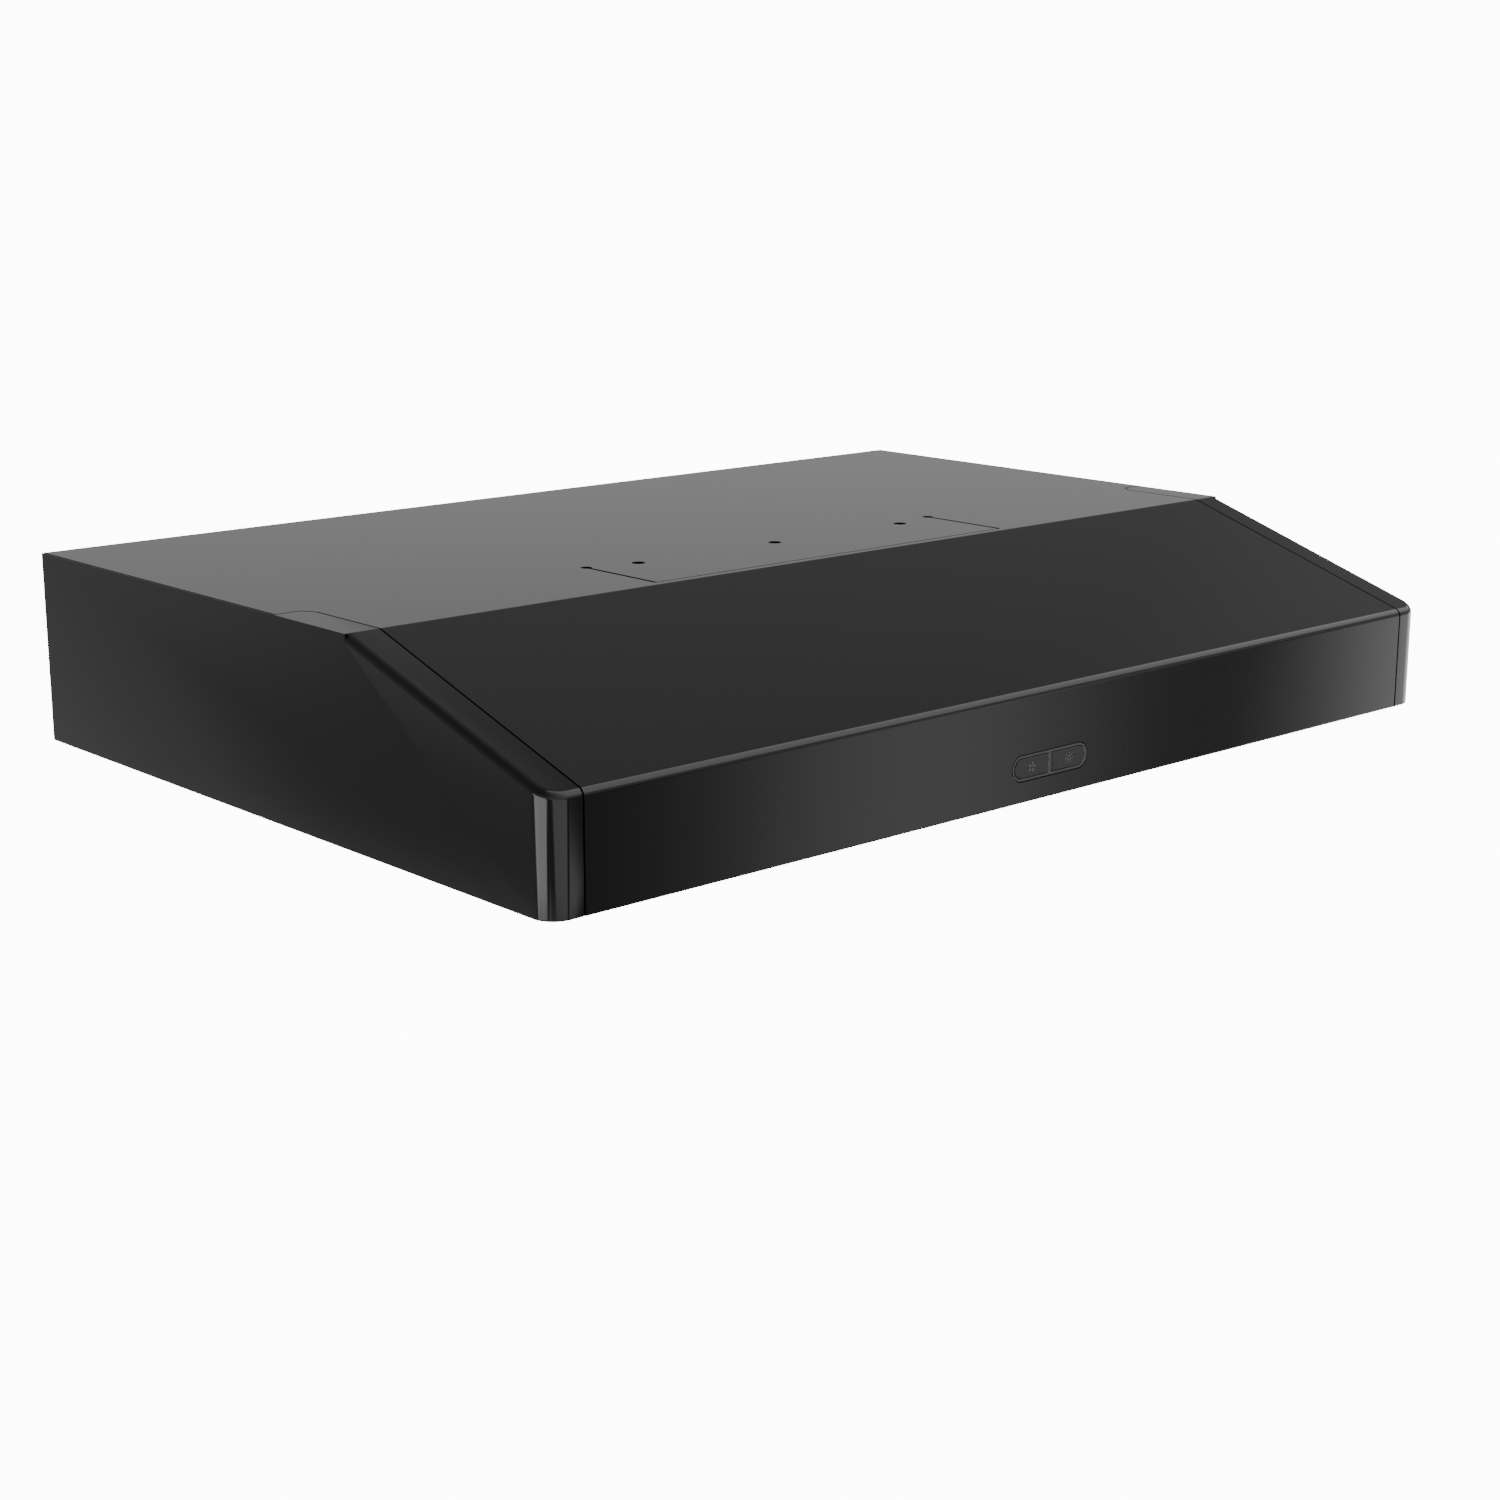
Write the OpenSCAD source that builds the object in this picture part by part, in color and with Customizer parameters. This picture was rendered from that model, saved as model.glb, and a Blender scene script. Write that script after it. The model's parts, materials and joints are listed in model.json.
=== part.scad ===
// Under-cabinet range hood, built as its separate pieces.
// Frame: origin at the middle of the top rear edge, where the cabinet's underside meets the wall.
// +X to the right as seen from the front, +Y into the wall, +Z up. The hood hangs below z = 0.

/* [Hood body] */
// Overall width across the two end panels
hood_w = 758.8; // [620:0.2:920]
// Depth from the wall to the front face
hood_d = 530.8; // [510:0.2:640]
// Height at the wall
hood_h = 124.4; // [122:0.2:160]
// Depth of the flat top, from the wall to where the slope begins
top_d = 351.2; // [345:0.2:380]
// Height of the front face, up to its sharp corner with the slope
front_h = 67.6; // [58:0.2:82]
// Thickness of the steel sheet
sheet_t = 0.8; // [0.6:0.1:1.2]
// Outside radius of the rounded bends
bend_r = 5; // [3:0.5:7]
// Outside radius of the two upright front corners
corner_r = 14; // [10:1:18]
// Width of the flange that each end panel wraps onto the slope and the front
flange_w = 22.8; // [20:0.2:32]
// How far the end panel's flange reaches back along the top
top_flange_l = 72; // [50:1:100]
// Gap at the seams between the shell and the end panels
seam_gap = 0.7; // [0.4:0.1:1.2]
// Width of the lap that carries the shell's edges under each seam
lap_w = 12; // [8:1:20]
// Length of the cut-off corner where each top flange ends
flange_corner = 9; // [4:0.5:12]
// Width of the turned-in bottom edge at the sides and the rear
return_w = 12; // [10:1:18]
// Width of the turned-in bottom edge at the front, which the controls stand on
front_return_w = 30; // [28:1:40]

/* [Top tongue] */
// Width of the tongue cut into the top behind the slope
tongue_w = 304; // [260:2:360]
// Length of the tongue's side slits
tongue_l = 68; // [50:1:80]
// Distance from the slope's edge to the tongue's free edge
tongue_edge = 6; // [4:1:12]
// Width of the slits
slit_w = 1.2; // [0.8:0.1:2]
// Radius of the relief hole at the end of each slit
relief_r = 3.4; // [2:0.1:4]
// Radius of the three screw holes
cabinet_hole_r = 4.2; // [2:0.1:5]
// Distance between neighbouring screw holes
cabinet_hole_step = 116.5; // [90:0.5:130]
// Distance from the slope's edge back to the screw holes
cabinet_hole_back = 66; // [40:1:70]

/* [Rear panel] */
// How far the rear panel is set in, so that its screw heads clear the wall
rear_inset = 2; // [1.8:0.2:4]
// Radius of the four wall screw holes
wall_hole_r = 3.25; // [2.5:0.05:4]
// Distance between the wall screw holes, left to right
wall_hole_step_x = 560; // [420:5:600]
// Distance between the wall screw holes, up and down
wall_hole_step_z = 70; // [50:1:80]
// Radius of the house wiring hole
wiring_hole_r = 11.1; // [8:0.1:14]
// Distance from the right-hand end to the house wiring hole
wiring_hole_inset = 132; // [110:1:150]

/* [Duct collar and damper] */
// Outside width of the collar, for a 3-1/4 by 10 inch duct
collar_w = 254; // [240:1:270]
// Outside height of the collar
collar_h = 82.5; // [80:0.5:86]
// How far the collar stands out behind the wall plane
collar_out = 35; // [25:1:50]
// Width of the collar's fixing flange
collar_flange_w = 10; // [8:1:14]
// Radius of the damper flap's pivot pins
flap_pin_r = 1.95; // [1.5:0.05:3]
// Radial clearance round the damper flap's pivot pins
flap_pin_gap = 0.05; // [0.03:0.01:0.1]
// Clearance round the flap inside the collar
flap_gap = 2; // [1:0.5:4]

/* [Blower] */
// Radius of the blower wheel
wheel_r = 100; // [90:1:104]
// Height of the blower wheel
wheel_h = 62; // [50:1:64]
// Number of blades
blade_count = 36; // [24:1:48]
// Length of each blade from the outer edge inward
blade_l = 16; // [12:1:20]
// Thickness of the wheel's walls and blades
wheel_wall = 1.4; // [1:0.1:2]
// Gap between the wheel and the scroll at its cut-off
cutoff_gap = 6; // [4:1:10]
// How much wider the scroll is at its end than at its cut-off
scroll_growth = 34; // [25:1:40]
// Inside height of the scroll
scroll_h = 76; // [72:1:76]
// Distance from the wall to the blower's axis
blower_back = 185; // [180:1:200]
// Free height between the hood's top and the scroll
blower_top_gap = 9; // [6:1:14]
// Width of the turned lip round the scroll's two plates
scroll_lip = 7; // [5:1:10]

/* [Motor] */
// Radius of the motor's can
motor_r = 40; // [36:1:42]
// Height of the motor's can
motor_h = 52; // [46:1:54]
// Radius of the motor's shaft
shaft_r = 4; // [3:0.5:6]
// Radial running clearance of the shaft in its bearings
shaft_gap = 0.03; // [0.02:0.01:0.08]
// Radial gap between the rotor and the stator
air_gap = 0.6; // [0.4:0.1:1]

/* [Bottom pan and filters] */
// Height of the pan's underside above the hood's bottom edge
pan_lift = 18; // [17:1:22]
// Width of one filter
filter_w = 264; // [220:1:270]
// Depth of one filter
filter_d = 264; // [220:1:275]
// Thickness of a filter
filter_t = 9; // [8:0.5:10]
// Width of the filter frame's face
filter_frame_w = 10; // [8:1:14]
// Distance from the wall to the filters' rear edge
filter_back = 70; // [66:1:80]
// Width of the rib between the two filters
rib_w = 23; // [20:1:32]
// Clearance round a filter in its opening
filter_gap = 1.5; // [1:0.5:3]
// Radius of the filter's hinge pins
hinge_pin_r = 1.9; // [1.5:0.1:2.2]
// Radial clearance round the hinge pins
hinge_pin_gap = 0.1; // [0.05:0.05:0.2]
// Radius of the pull ring's wire
ring_wire_r = 1.2; // [1:0.1:1.5]
// Width of the pull ring
ring_w = 22; // [18:1:30]
// Drop of the pull ring below its pivot
ring_drop = 11; // [9:0.5:12]

/* [Controls] */
// Width of the oval control opening
control_w = 66.5; // [60:0.5:80]
// Height of the oval control opening
control_h = 15.5; // [14:0.5:18]
// Height of the controls' centre above the bottom edge
control_up = 21.5; // [19:0.5:24]
// Width of the bezel's rim round the buttons
bezel_rim = 1.5; // [1:0.1:2]
// Width of the bar between the two buttons
bezel_bar = 2.6; // [2:0.1:4]
// Clearance round each button
button_gap = 0.3; // [0.2:0.05:0.5]
// How far the buttons stand proud of the front face
button_proud = 0.4; // [0:0.1:1]
// Travel of each button
button_travel = 1.2; // [0.8:0.1:1.6]

/* [Lamps] */
// Radius of the lamp's visible lens
lens_r = 33; // [28:1:38]
// Distance from each end to the lamp's centre
lamp_inset = 130; // [110:1:150]
// Distance from the front face to the lamp's centre
lamp_from_front = 104; // [95:1:110]
// Height of the lamp's can above the pan
lamp_can_h = 26; // [20:1:30]

/* [Wiring box] */
// Width of the wiring box
box_w = 120; // [100:1:130]
// Depth of the wiring box
box_d = 92; // [80:1:100]
// Height of the wiring box
box_h = 58; // [50:1:62]
// Distance from the right-hand end to the wiring box
box_inset = 60; // [50:1:66]

/* [Hidden] */
$fn = 48;

black_paint = "#1c1c1e";
grey_paint = "#3a3a3c";
zinc = "#b9bcc0";
aluminium = "#c9cbce";
black_plastic = "#202022";

half_w = hood_w / 2;
bottom_z = -hood_h;
slope_rise = hood_h - front_h;
slope_run = hood_d - top_d;
slope_angle = atan(slope_rise / slope_run);
seam_x = half_w - flange_w;
top_flange_y = -(top_d - top_flange_l);
cut = 1; // how far a cutting shape runs past what it cuts
face_gap = 0.1; // between sheets that lie against each other
rear_y = -rear_inset; // outer face of the rear panel
rear_in_y = rear_y - sheet_t; // its inner face

pan_z = bottom_z + pan_lift;
pan_front_y = -(hood_d - front_return_w);
filter_z = pan_z - 3;
filter_x = rib_w / 2 + filter_gap + filter_w / 2;
hinge_y = -(filter_back + 6);
hinge_z = filter_z + filter_t - 2;
pin_l = 5;

scroll_top_z = -sheet_t - blower_top_gap - sheet_t;
scroll_bottom_z = scroll_top_z - scroll_h;
collar_z = (scroll_top_z + scroll_bottom_z) / 2;
collar_in_w = collar_w - 2 * sheet_t;
collar_in_h = collar_h - 2 * sheet_t;
mouth_half = collar_in_w / 2 - 1;
spiral_end_r = wheel_r + cutoff_gap + scroll_growth;
blower_x = mouth_half - spiral_end_r;
blower_y = -blower_back;
cutoff_angle = 115;
wheel_z = scroll_bottom_z + 4;
inlet_r = wheel_r - blade_l - 2;
dome_r = motor_r + 7;
hub_r = shaft_r + 6;
shaft_fit_r = shaft_r + shaft_gap;
motor_z = scroll_top_z - motor_h;
can_wall = 1.5;
bearing_h = 6;
bearing_r = shaft_r + 5;
rotor_r = 20;
stator_r = motor_r - can_wall;

control_z = bottom_z + control_up;
face_y = -hood_d;
panel_in_y = face_y + sheet_t;
bezel_back_y = face_y + 4;
board_y = face_y + 14.5;
switch_h = 3.5;
plunger_h = 0.8;
board_w = control_w - 0.5;
lamp_x = half_w - lamp_inset;
lamp_y = -(hood_d - lamp_from_front);
can_r = lens_r + 3;

box_x = half_w - box_inset - box_w / 2;
box_top_z = -sheet_t - 6;
box_back_y = rear_in_y;

// ---- shared helpers ----

// Points along an arc, both ends included
function arc_points(centre, r, from, to, steps) =
    [for (i = [0:steps]) let (a = from + (to - from) * i / steps)
        centre + r * [cos(a), sin(a)]];

// The hood's outside line in (depth, height), inset by a distance, from the front's bottom edge to the wall
function side_line(inset) = let (
        r = bend_r - inset,
        half_turn_front = (90 - slope_angle) / 2,
        half_turn_top = slope_angle / 2,
        front_centre = [-hood_d + bend_r, bottom_z + front_h - bend_r * tan(half_turn_front)],
        top_centre = [-top_d + bend_r * tan(half_turn_top), -bend_r])
    concat([[-hood_d + inset, bottom_z + inset]],
        arc_points(front_centre, r, 180, 90 + slope_angle, 8),
        arc_points(top_centre, r, 90 + slope_angle, 90, 3),
        [[0, -inset]]);

function reversed(list) = [for (i = [len(list) - 1:-1:0]) list[i]];

// A sheet bent along the hood's outside line, between two x values
module bent_sheet(x0, x1, inset, t) {
    translate([x0, 0, 0])
        rotate([90, 0, 90])
            linear_extrude(x1 - x0)
                polygon(concat(side_line(inset), reversed(side_line(inset + t))));
}

module box(x0, x1, y0, y1, z0, z1) {
    translate([min(x0, x1), min(y0, y1), min(z0, z1)])
        cube([abs(x1 - x0), abs(y1 - y0), abs(z1 - z0)]);
}

module hole_y(x, y0, y1, z, r) {
    translate([x, y1, z]) rotate([90, 0, 0]) cylinder(r = r, h = y1 - y0);
}

module hole_x(x0, x1, y, z, r) {
    translate([x0, y, z]) rotate([0, 90, 0]) cylinder(r = r, h = x1 - x0);
}

module hole_z(x, y, z0, z1, r) {
    translate([x, y, z0]) cylinder(r = r, h = z1 - z0);
}

module both_sides() {
    children();
    mirror([1, 0, 0]) children();
}

// A flat pill, or stadium, standing in the x-z plane
module pill(w, h, y0, y1, z) {
    translate([0, y1, z]) rotate([90, 0, 0]) linear_extrude(y1 - y0) union() {
        square([w - h, h], center = true);
        for (s = [-1, 1]) translate([s * (w - h) / 2, 0]) circle(h / 2);
    }
}

hair = 0.01;

// Pan-head screw along -Y, +Z or -Z, with its head at the origin side
module screw(head_r, head_h, shank_r, shank_l) {
    cylinder(r = head_r, h = head_h);
    translate([0, 0, head_h - hair]) cylinder(r = shank_r, h = shank_l + hair);
}

// ---- screw positions, shared by the sheets they pass through ----

screw_hole_r = 2;
pan_hole_r = 1.8;
pan_head_h = 1.4;
pan_screw_inset = 3.5;
pan_screw_end = 60;
pan_screw_front = 40;
rear_screw_inset = 9;
collar_screw_inset = 20;
ear_w = 10;

function side_pan_screws() = [for (
        s = [-1, 1],
        y = [-pan_screw_end, pan_front_y / 2, pan_front_y + pan_screw_front])
    [s * (half_w - return_w + pan_screw_inset), y]];
function front_pan_screws() = [for (f = [-0.8, -0.3, 0.3, 0.8])
    [f * seam_x, pan_front_y - pan_screw_inset]];
function side_rear_screws() = [for (s = [-1, 1], f = [0.18, 0.5, 0.82])
    [s * (half_w - rear_screw_inset), bottom_z + hood_h * f]];
function box_screws() = [for (s = [-1, 1]) [box_x + s * (box_w + ear_w) / 2, box_top_z - box_h / 2]];
function collar_screw_points() = [for (sx = [-1, 0, 1])
    [sx * (collar_w / 2 - collar_screw_inset), collar_z - collar_h / 2 - collar_flange_w / 2 - 0.5]];

module pan_holes(points) {
    for (p = points) hole_z(p.x, p.y, bottom_z - cut, bottom_z + 2 * sheet_t + cut, pan_hole_r);
}

module rear_holes(points) {
    for (p = points) hole_y(p.x, rear_in_y - sheet_t - cut, cut, p.y, screw_hole_r);
}

// ---- outer shell ----

// The solid that an end panel's skin follows: rounded along the slope, the top and the upright corner
module rounded_end(inset) {
    r = bend_r - inset;
    side_x = half_w - bend_r;
    core_r = corner_r - bend_r;
    top_turn = bend_r * tan(slope_angle / 2);
    slope_drop = bend_r / cos(slope_angle);
    function slope_z(y) = (y + top_d) * tan(slope_angle) - slope_drop;
    low_z = bottom_z - 2 * bend_r;
    inner_x = seam_x - 4 * bend_r;
    arc_steps = 6;
    ball_sides = 32;
    arc = [for (i = [0:arc_steps]) let (a = 90 * i / arc_steps)
        [side_x - core_r + core_r * cos(a), face_y + corner_r - core_r * sin(a)]];
    hull() {
        for (p = concat(arc, [[inner_x, face_y + bend_r]])) {
            translate([p.x, p.y, slope_z(p.y)]) sphere(r, $fn = ball_sides);
            translate([p.x, p.y, low_z]) cylinder(r = r, h = 1, $fn = ball_sides);
        }
        for (x = [side_x, inner_x]) {
            translate([x, -top_d + top_turn, -bend_r]) sphere(r, $fn = ball_sides);
            translate([x, bend_r, -bend_r]) sphere(r, $fn = ball_sides);
            translate([x, bend_r, low_z]) cylinder(r = r, h = 1, $fn = ball_sides);
        }
    }
}

// Triangular prism in the inner corner of the right-hand top flange
module flange_corner_prism(x, y, l, z0, z1) {
    translate([x, y, z0]) linear_extrude(z1 - z0) polygon([[0, 0], [l * 0.65, 0], [0, -l]]);
}

module right_end_panel_raw() {
    difference() {
        end_panel_sheet();
        pan_holes(side_pan_screws());
        rear_holes(side_rear_screws());
    }
}

module end_panel_sheet() {
    skin_in = half_w - sheet_t;
    // the skin, with its flange cut back behind the top flange
    difference() {
        intersection() {
            rounded_end(0);
            box(seam_x, half_w, face_y, 0, bottom_z, 0);
        }
        rounded_end(sheet_t);
        box(seam_x - cut, skin_in - 0.01, top_flange_y, cut, -bend_r - cut, cut);
        flange_corner_prism(seam_x - cut, top_flange_y + cut, flange_corner + 2 * cut, -bend_r, cut);
    }
    // square upper edge beside the flat top
    box(skin_in, half_w, top_flange_y, 0, -bend_r - cut, 0);
    // bottom edge turned inward, with the upright corner's radius kept
    intersection() {
        rounded_end(0);
        union() {
            box(half_w - return_w, half_w, face_y + front_return_w, rear_in_y, bottom_z, bottom_z + sheet_t);
            box(seam_x, half_w, face_y, face_y + front_return_w, bottom_z, bottom_z + sheet_t);
        }
    }
    // lap that carries the shell along the slope and the front
    difference() {
        union() {
            bent_sheet(seam_x - lap_w, seam_x + 3, sheet_t + face_gap, sheet_t);
            bent_sheet(seam_x + 1, seam_x + 3, sheet_t / 2, sheet_t);
        }
        box(seam_x - lap_w - cut, seam_x + 4, top_flange_y - flange_corner - 2 * cut, cut, -hood_h, cut);
        box(seam_x - lap_w - cut, seam_x + 4, face_y, face_y + hood_d, bottom_z - cut, bottom_z + 3);
    }
    // rear edge turned inward, in front of the rear panel
    box(half_w - 18, half_w, rear_in_y - sheet_t, rear_in_y, bottom_z, -2 * bend_r);
}

module left_end_panel() { color(black_paint) mirror([1, 0, 0]) right_end_panel_raw(); }
module right_end_panel() { color(black_paint) right_end_panel_raw(); }

module hood_shell() {
    edge_x = seam_x - seam_gap;
    wing_x = half_w - sheet_t - seam_gap / 2;
    tongue_front_y = -top_d + tongue_edge;
    slit_y = tongue_front_y + tongue_l;
    hole_row_y = -top_d + cabinet_hole_back;
    color(black_paint) difference() {
        union() {
            bent_sheet(-edge_x, edge_x, 0, sheet_t);
            box(-edge_x, edge_x, face_y + sheet_t / 2, face_y + front_return_w, bottom_z, bottom_z + sheet_t);
            box(-edge_x, edge_x, face_y, face_y + sheet_t, bottom_z, bottom_z + 2 * sheet_t);
            box(-wing_x, wing_x, top_flange_y + seam_gap, 0, -sheet_t, 0);
            both_sides() {
                box(wing_x - sheet_t, wing_x, top_flange_y + 4, rear_y - 4, -return_w, 0);
                flange_corner_prism(edge_x - cut, top_flange_y + seam_gap + cut,
                    flange_corner + 2 * cut + 0.7 * seam_gap, -sheet_t, 0);
            }
        }
        // tongue: two slits, a free front edge and a relief hole at each slit's end
        for (s = [-1, 1]) {
            box(s * tongue_w / 2 - slit_w / 2, s * tongue_w / 2 + slit_w / 2,
                tongue_front_y, slit_y, -sheet_t - cut, cut);
            hole_z(s * tongue_w / 2, slit_y, -sheet_t - cut, cut, relief_r);
        }
        box(-tongue_w / 2, tongue_w / 2, tongue_front_y - slit_w / 4, tongue_front_y + slit_w / 4,
            -sheet_t - cut, cut);
        for (i = [-1:1]) hole_z(i * cabinet_hole_step, hole_row_y, -sheet_t - cut, cut, cabinet_hole_r);
        pan_holes(front_pan_screws());
        // oval opening for the controls
        pill(control_w + seam_gap, control_h + 2 * seam_gap / 2,
            face_y - cut, face_y + sheet_t + cut, control_z);
    }
}

module rear_panel() {
    panel_x = half_w - sheet_t - face_gap;
    top_z = -sheet_t - face_gap;
    color(grey_paint) difference() {
        union() {
            box(-panel_x, panel_x, rear_in_y, rear_y, bottom_z, top_z);
            box(-panel_x + 20, panel_x - 20, -return_w, rear_y, top_z - sheet_t, top_z);
            box(-(half_w - return_w - face_gap), half_w - return_w - face_gap,
                -return_w, rear_y, bottom_z, bottom_z + sheet_t);
        }
        box(-collar_w / 2 - 0.5, collar_w / 2 + 0.5, rear_in_y - cut, cut,
            collar_z - collar_h / 2 - 0.5, collar_z + collar_h / 2 + 0.5);
        for (sx = [-1, 1], sz = [-1, 1])
            hole_y(sx * wall_hole_step_x / 2, rear_in_y - cut, cut, -hood_h / 2 + sz * wall_hole_step_z / 2,
                wall_hole_r);
        hole_y(half_w - wiring_hole_inset, rear_in_y - cut, cut, box_top_z - box_h / 2, wiring_hole_r);
        rear_holes(concat(side_rear_screws(), box_screws(), collar_screw_points()));
    }
}

// ---- bottom pan ----

// Room for the swing of a filter's rear edge
swing_gap = 4.5;

module filter_opening(side) {
    box(side * filter_x - filter_w / 2 - filter_gap, side * filter_x + filter_w / 2 + filter_gap,
        -filter_back - filter_d - filter_gap, -filter_back + swing_gap, pan_z - cut, pan_z + sheet_t + cut);
}

module bottom_pan() {
    side_x = half_w - return_w;
    pan_rear_y = -return_w;
    lap = 7;
    stop_lap = 6;
    stop_gap = 0.4;
    return_top = bottom_z + sheet_t;
    stop_y = -filter_back - filter_d - filter_gap;
    stop_z = filter_z + filter_t + stop_gap;
    color(grey_paint) difference() {
        union() {
            // tray with its rim, hollowed from below
            difference() {
                box(-side_x, side_x, pan_front_y, pan_rear_y, return_top, pan_z + sheet_t);
                box(-side_x + sheet_t, side_x - sheet_t, pan_front_y + sheet_t, pan_rear_y - sheet_t,
                    return_top - cut, pan_z);
            }
            // lip that lies on the shell's turned-in edges
            difference() {
                box(-side_x - lap, side_x + lap, pan_front_y - lap, pan_rear_y + lap,
                    return_top, return_top + sheet_t);
                box(-side_x + sheet_t / 2, side_x - sheet_t / 2, pan_front_y + sheet_t / 2,
                    pan_rear_y - sheet_t / 2, return_top - cut, return_top + sheet_t + cut);
            }
            // stop above the filters' front edge
            for (side = [-1, 1]) {
                x0 = side * filter_x - filter_w / 2;
                box(x0, x0 + filter_w, stop_y - sheet_t, stop_y, pan_z, stop_z + sheet_t);
                box(x0, x0 + filter_w, stop_y - sheet_t, stop_y + stop_lap, stop_z,
                    stop_z + sheet_t);
            }
        }
        for (side = [-1, 1]) {
            filter_opening(side);
            hole_z(side * lamp_x, lamp_y, pan_z - cut, pan_z + sheet_t + cut, can_r + 0.5);
        }
        pan_holes(concat(side_pan_screws(), front_pan_screws()));
    }
}

// ---- duct collar and damper ----

flap_y = 10;
flap_t = 0.8;
flap_h = collar_in_h - 2 * flap_gap;
flap_w = collar_in_w - 2 * flap_gap;
rod_wall = 0.8;
flap_axis_z = collar_z + collar_in_h / 2 - flap_gap - flap_pin_r - rod_wall;
seal_t = 3;
seal_l = 2.3;
seal_gap = 0.3;

module collar_tube(inset, y0, y1) {
    box(-collar_w / 2 + inset, collar_w / 2 - inset, y0, y1,
        collar_z - collar_h / 2 + inset, collar_z + collar_h / 2 - inset);
}

module duct_collar() {
    flange_y = rear_in_y - sheet_t;
    color(zinc) difference() {
        union() {
            collar_tube(0, flange_y, collar_out);
            box(-collar_w / 2 - collar_flange_w, collar_w / 2 + collar_flange_w, flange_y, flange_y + sheet_t,
                collar_z - collar_h / 2 - collar_flange_w, -2 * sheet_t - 2 * face_gap);
        }
        collar_tube(sheet_t, flange_y - cut, collar_out + cut);
        hole_x(-collar_w, collar_w, flap_y, flap_axis_z, flap_pin_r + flap_pin_gap);
        rear_holes(collar_screw_points());
    }
}

module damper_flap() {
    pin_end = 1.5;
    pin_reach = collar_w / 2 - flap_w / 2 + pin_end;
    rod_w = flap_w - 2;
    bead_r = 1.4;
    bead_end = 20;
    bead_drop = 6;
    color(zinc) union() {
        box(-flap_w / 2, flap_w / 2, flap_y - flap_t / 2, flap_y + flap_t / 2,
            collar_z - flap_h / 2, flap_axis_z);
        hole_x(-rod_w / 2, rod_w / 2, flap_y, flap_axis_z, flap_pin_r + rod_wall);
        hole_x(-flap_w / 2 - pin_reach, flap_w / 2 + pin_reach, flap_y, flap_axis_z, flap_pin_r);
        // stiffening bead across the flap
        hole_x(-flap_w / 2 + bead_end, flap_w / 2 - bead_end, flap_y, collar_z - bead_drop, bead_r);
    }
}

module damper_seal() {
    seal_y = flap_y - flap_t / 2 - seal_l - seal_gap;
    low_z = collar_z - collar_in_h / 2;
    color("#2b2b2b") difference() {
        box(-collar_in_w / 2, collar_in_w / 2, seal_y, seal_y + seal_l, low_z,
            flap_axis_z - flap_pin_r - seal_t);
        box(-collar_in_w / 2 + seal_t + flap_gap, collar_in_w / 2 - seal_t - flap_gap,
            seal_y - cut, seal_y + seal_l + cut, low_z + seal_t + flap_gap, flap_axis_z + cut);
    }
}

// ---- blower ----

scroll_steps = 34;
least_mitre = 0.35;
screw_clear_r = 1.7;
motor_flange_w = 11;
motor_screw_out = 6;
stud_out = 24;
dome_rise = 12;
hub_drop = 6;
stack_rise = 14;
stack_h = 22;
poles = 6;

function spiral_point(a) = let (
        turned = (a - cutoff_angle) / (360 - cutoff_angle),
        r = wheel_r + cutoff_gap + scroll_growth * turned)
    [blower_x + r * cos(a), blower_y + r * sin(a)];

// The scroll's wall line, from the left of the mouth round the wheel to the right of the mouth
function scroll_line() = concat(
    [[-mouth_half, rear_in_y - sheet_t - face_gap]],
    [for (i = [0:scroll_steps]) spiral_point(cutoff_angle + (360 - cutoff_angle) * i / scroll_steps)],
    [[mouth_half, rear_in_y - sheet_t - face_gap]]);

function unit(v) = v / norm(v);
function left_of(v) = [-v.y, v.x];

// A line moved sideways by d, mitred at its corners
function moved(line, d) = [for (i = [0:len(line) - 1]) let (
        before = i == 0 ? line[1] - line[0] : line[i] - line[i - 1],
        after = i == len(line) - 1 ? before : line[i + 1] - line[i],
        n0 = left_of(unit(before)),
        n1 = left_of(unit(after)),
        n = unit(n0 + n1))
    line[i] + n * d / max(least_mitre, n * n0)];

module scroll_plate(z0, z1) {
    translate([0, 0, z0]) linear_extrude(z1 - z0) polygon(moved(scroll_line(), -scroll_lip));
}

module scroll_wall() {
    color(zinc) translate([0, 0, scroll_bottom_z]) linear_extrude(scroll_h)
        polygon(concat(moved(scroll_line(), sheet_t / 2), reversed(moved(scroll_line(), -sheet_t / 2))));
}

module scroll_inlet_plate() {
    lip_h = 6;
    color(zinc) difference() {
        union() {
            scroll_plate(scroll_bottom_z - sheet_t, scroll_bottom_z);
            hole_z(blower_x, blower_y, scroll_bottom_z - sheet_t, scroll_bottom_z + lip_h, inlet_r + sheet_t);
        }
        hole_z(blower_x, blower_y, scroll_bottom_z - 2 * sheet_t, scroll_bottom_z + lip_h + cut, inlet_r);
    }
}

mount_points = [for (a = [45, 135, 225, 315]) [blower_x, blower_y] + (motor_r + stud_out) * [cos(a), sin(a)]];
stud_r = 2.5;
grommet_r = 7;
grommet_half = 2.4;

module scroll_top_plate() {
    motor_rim = 8;
    color(zinc) difference() {
        scroll_plate(scroll_top_z, scroll_top_z + sheet_t);
        hole_z(blower_x, blower_y, scroll_top_z - cut, scroll_top_z + 2, motor_r - motor_rim);
        for (p = mount_points) hole_z(p.x, p.y, scroll_top_z - cut, scroll_top_z + 2, grommet_r - 2);
        for (p = motor_screw_points()) hole_z(p.x, p.y, scroll_top_z - cut, scroll_top_z + 2, screw_clear_r);
    }
}

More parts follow.
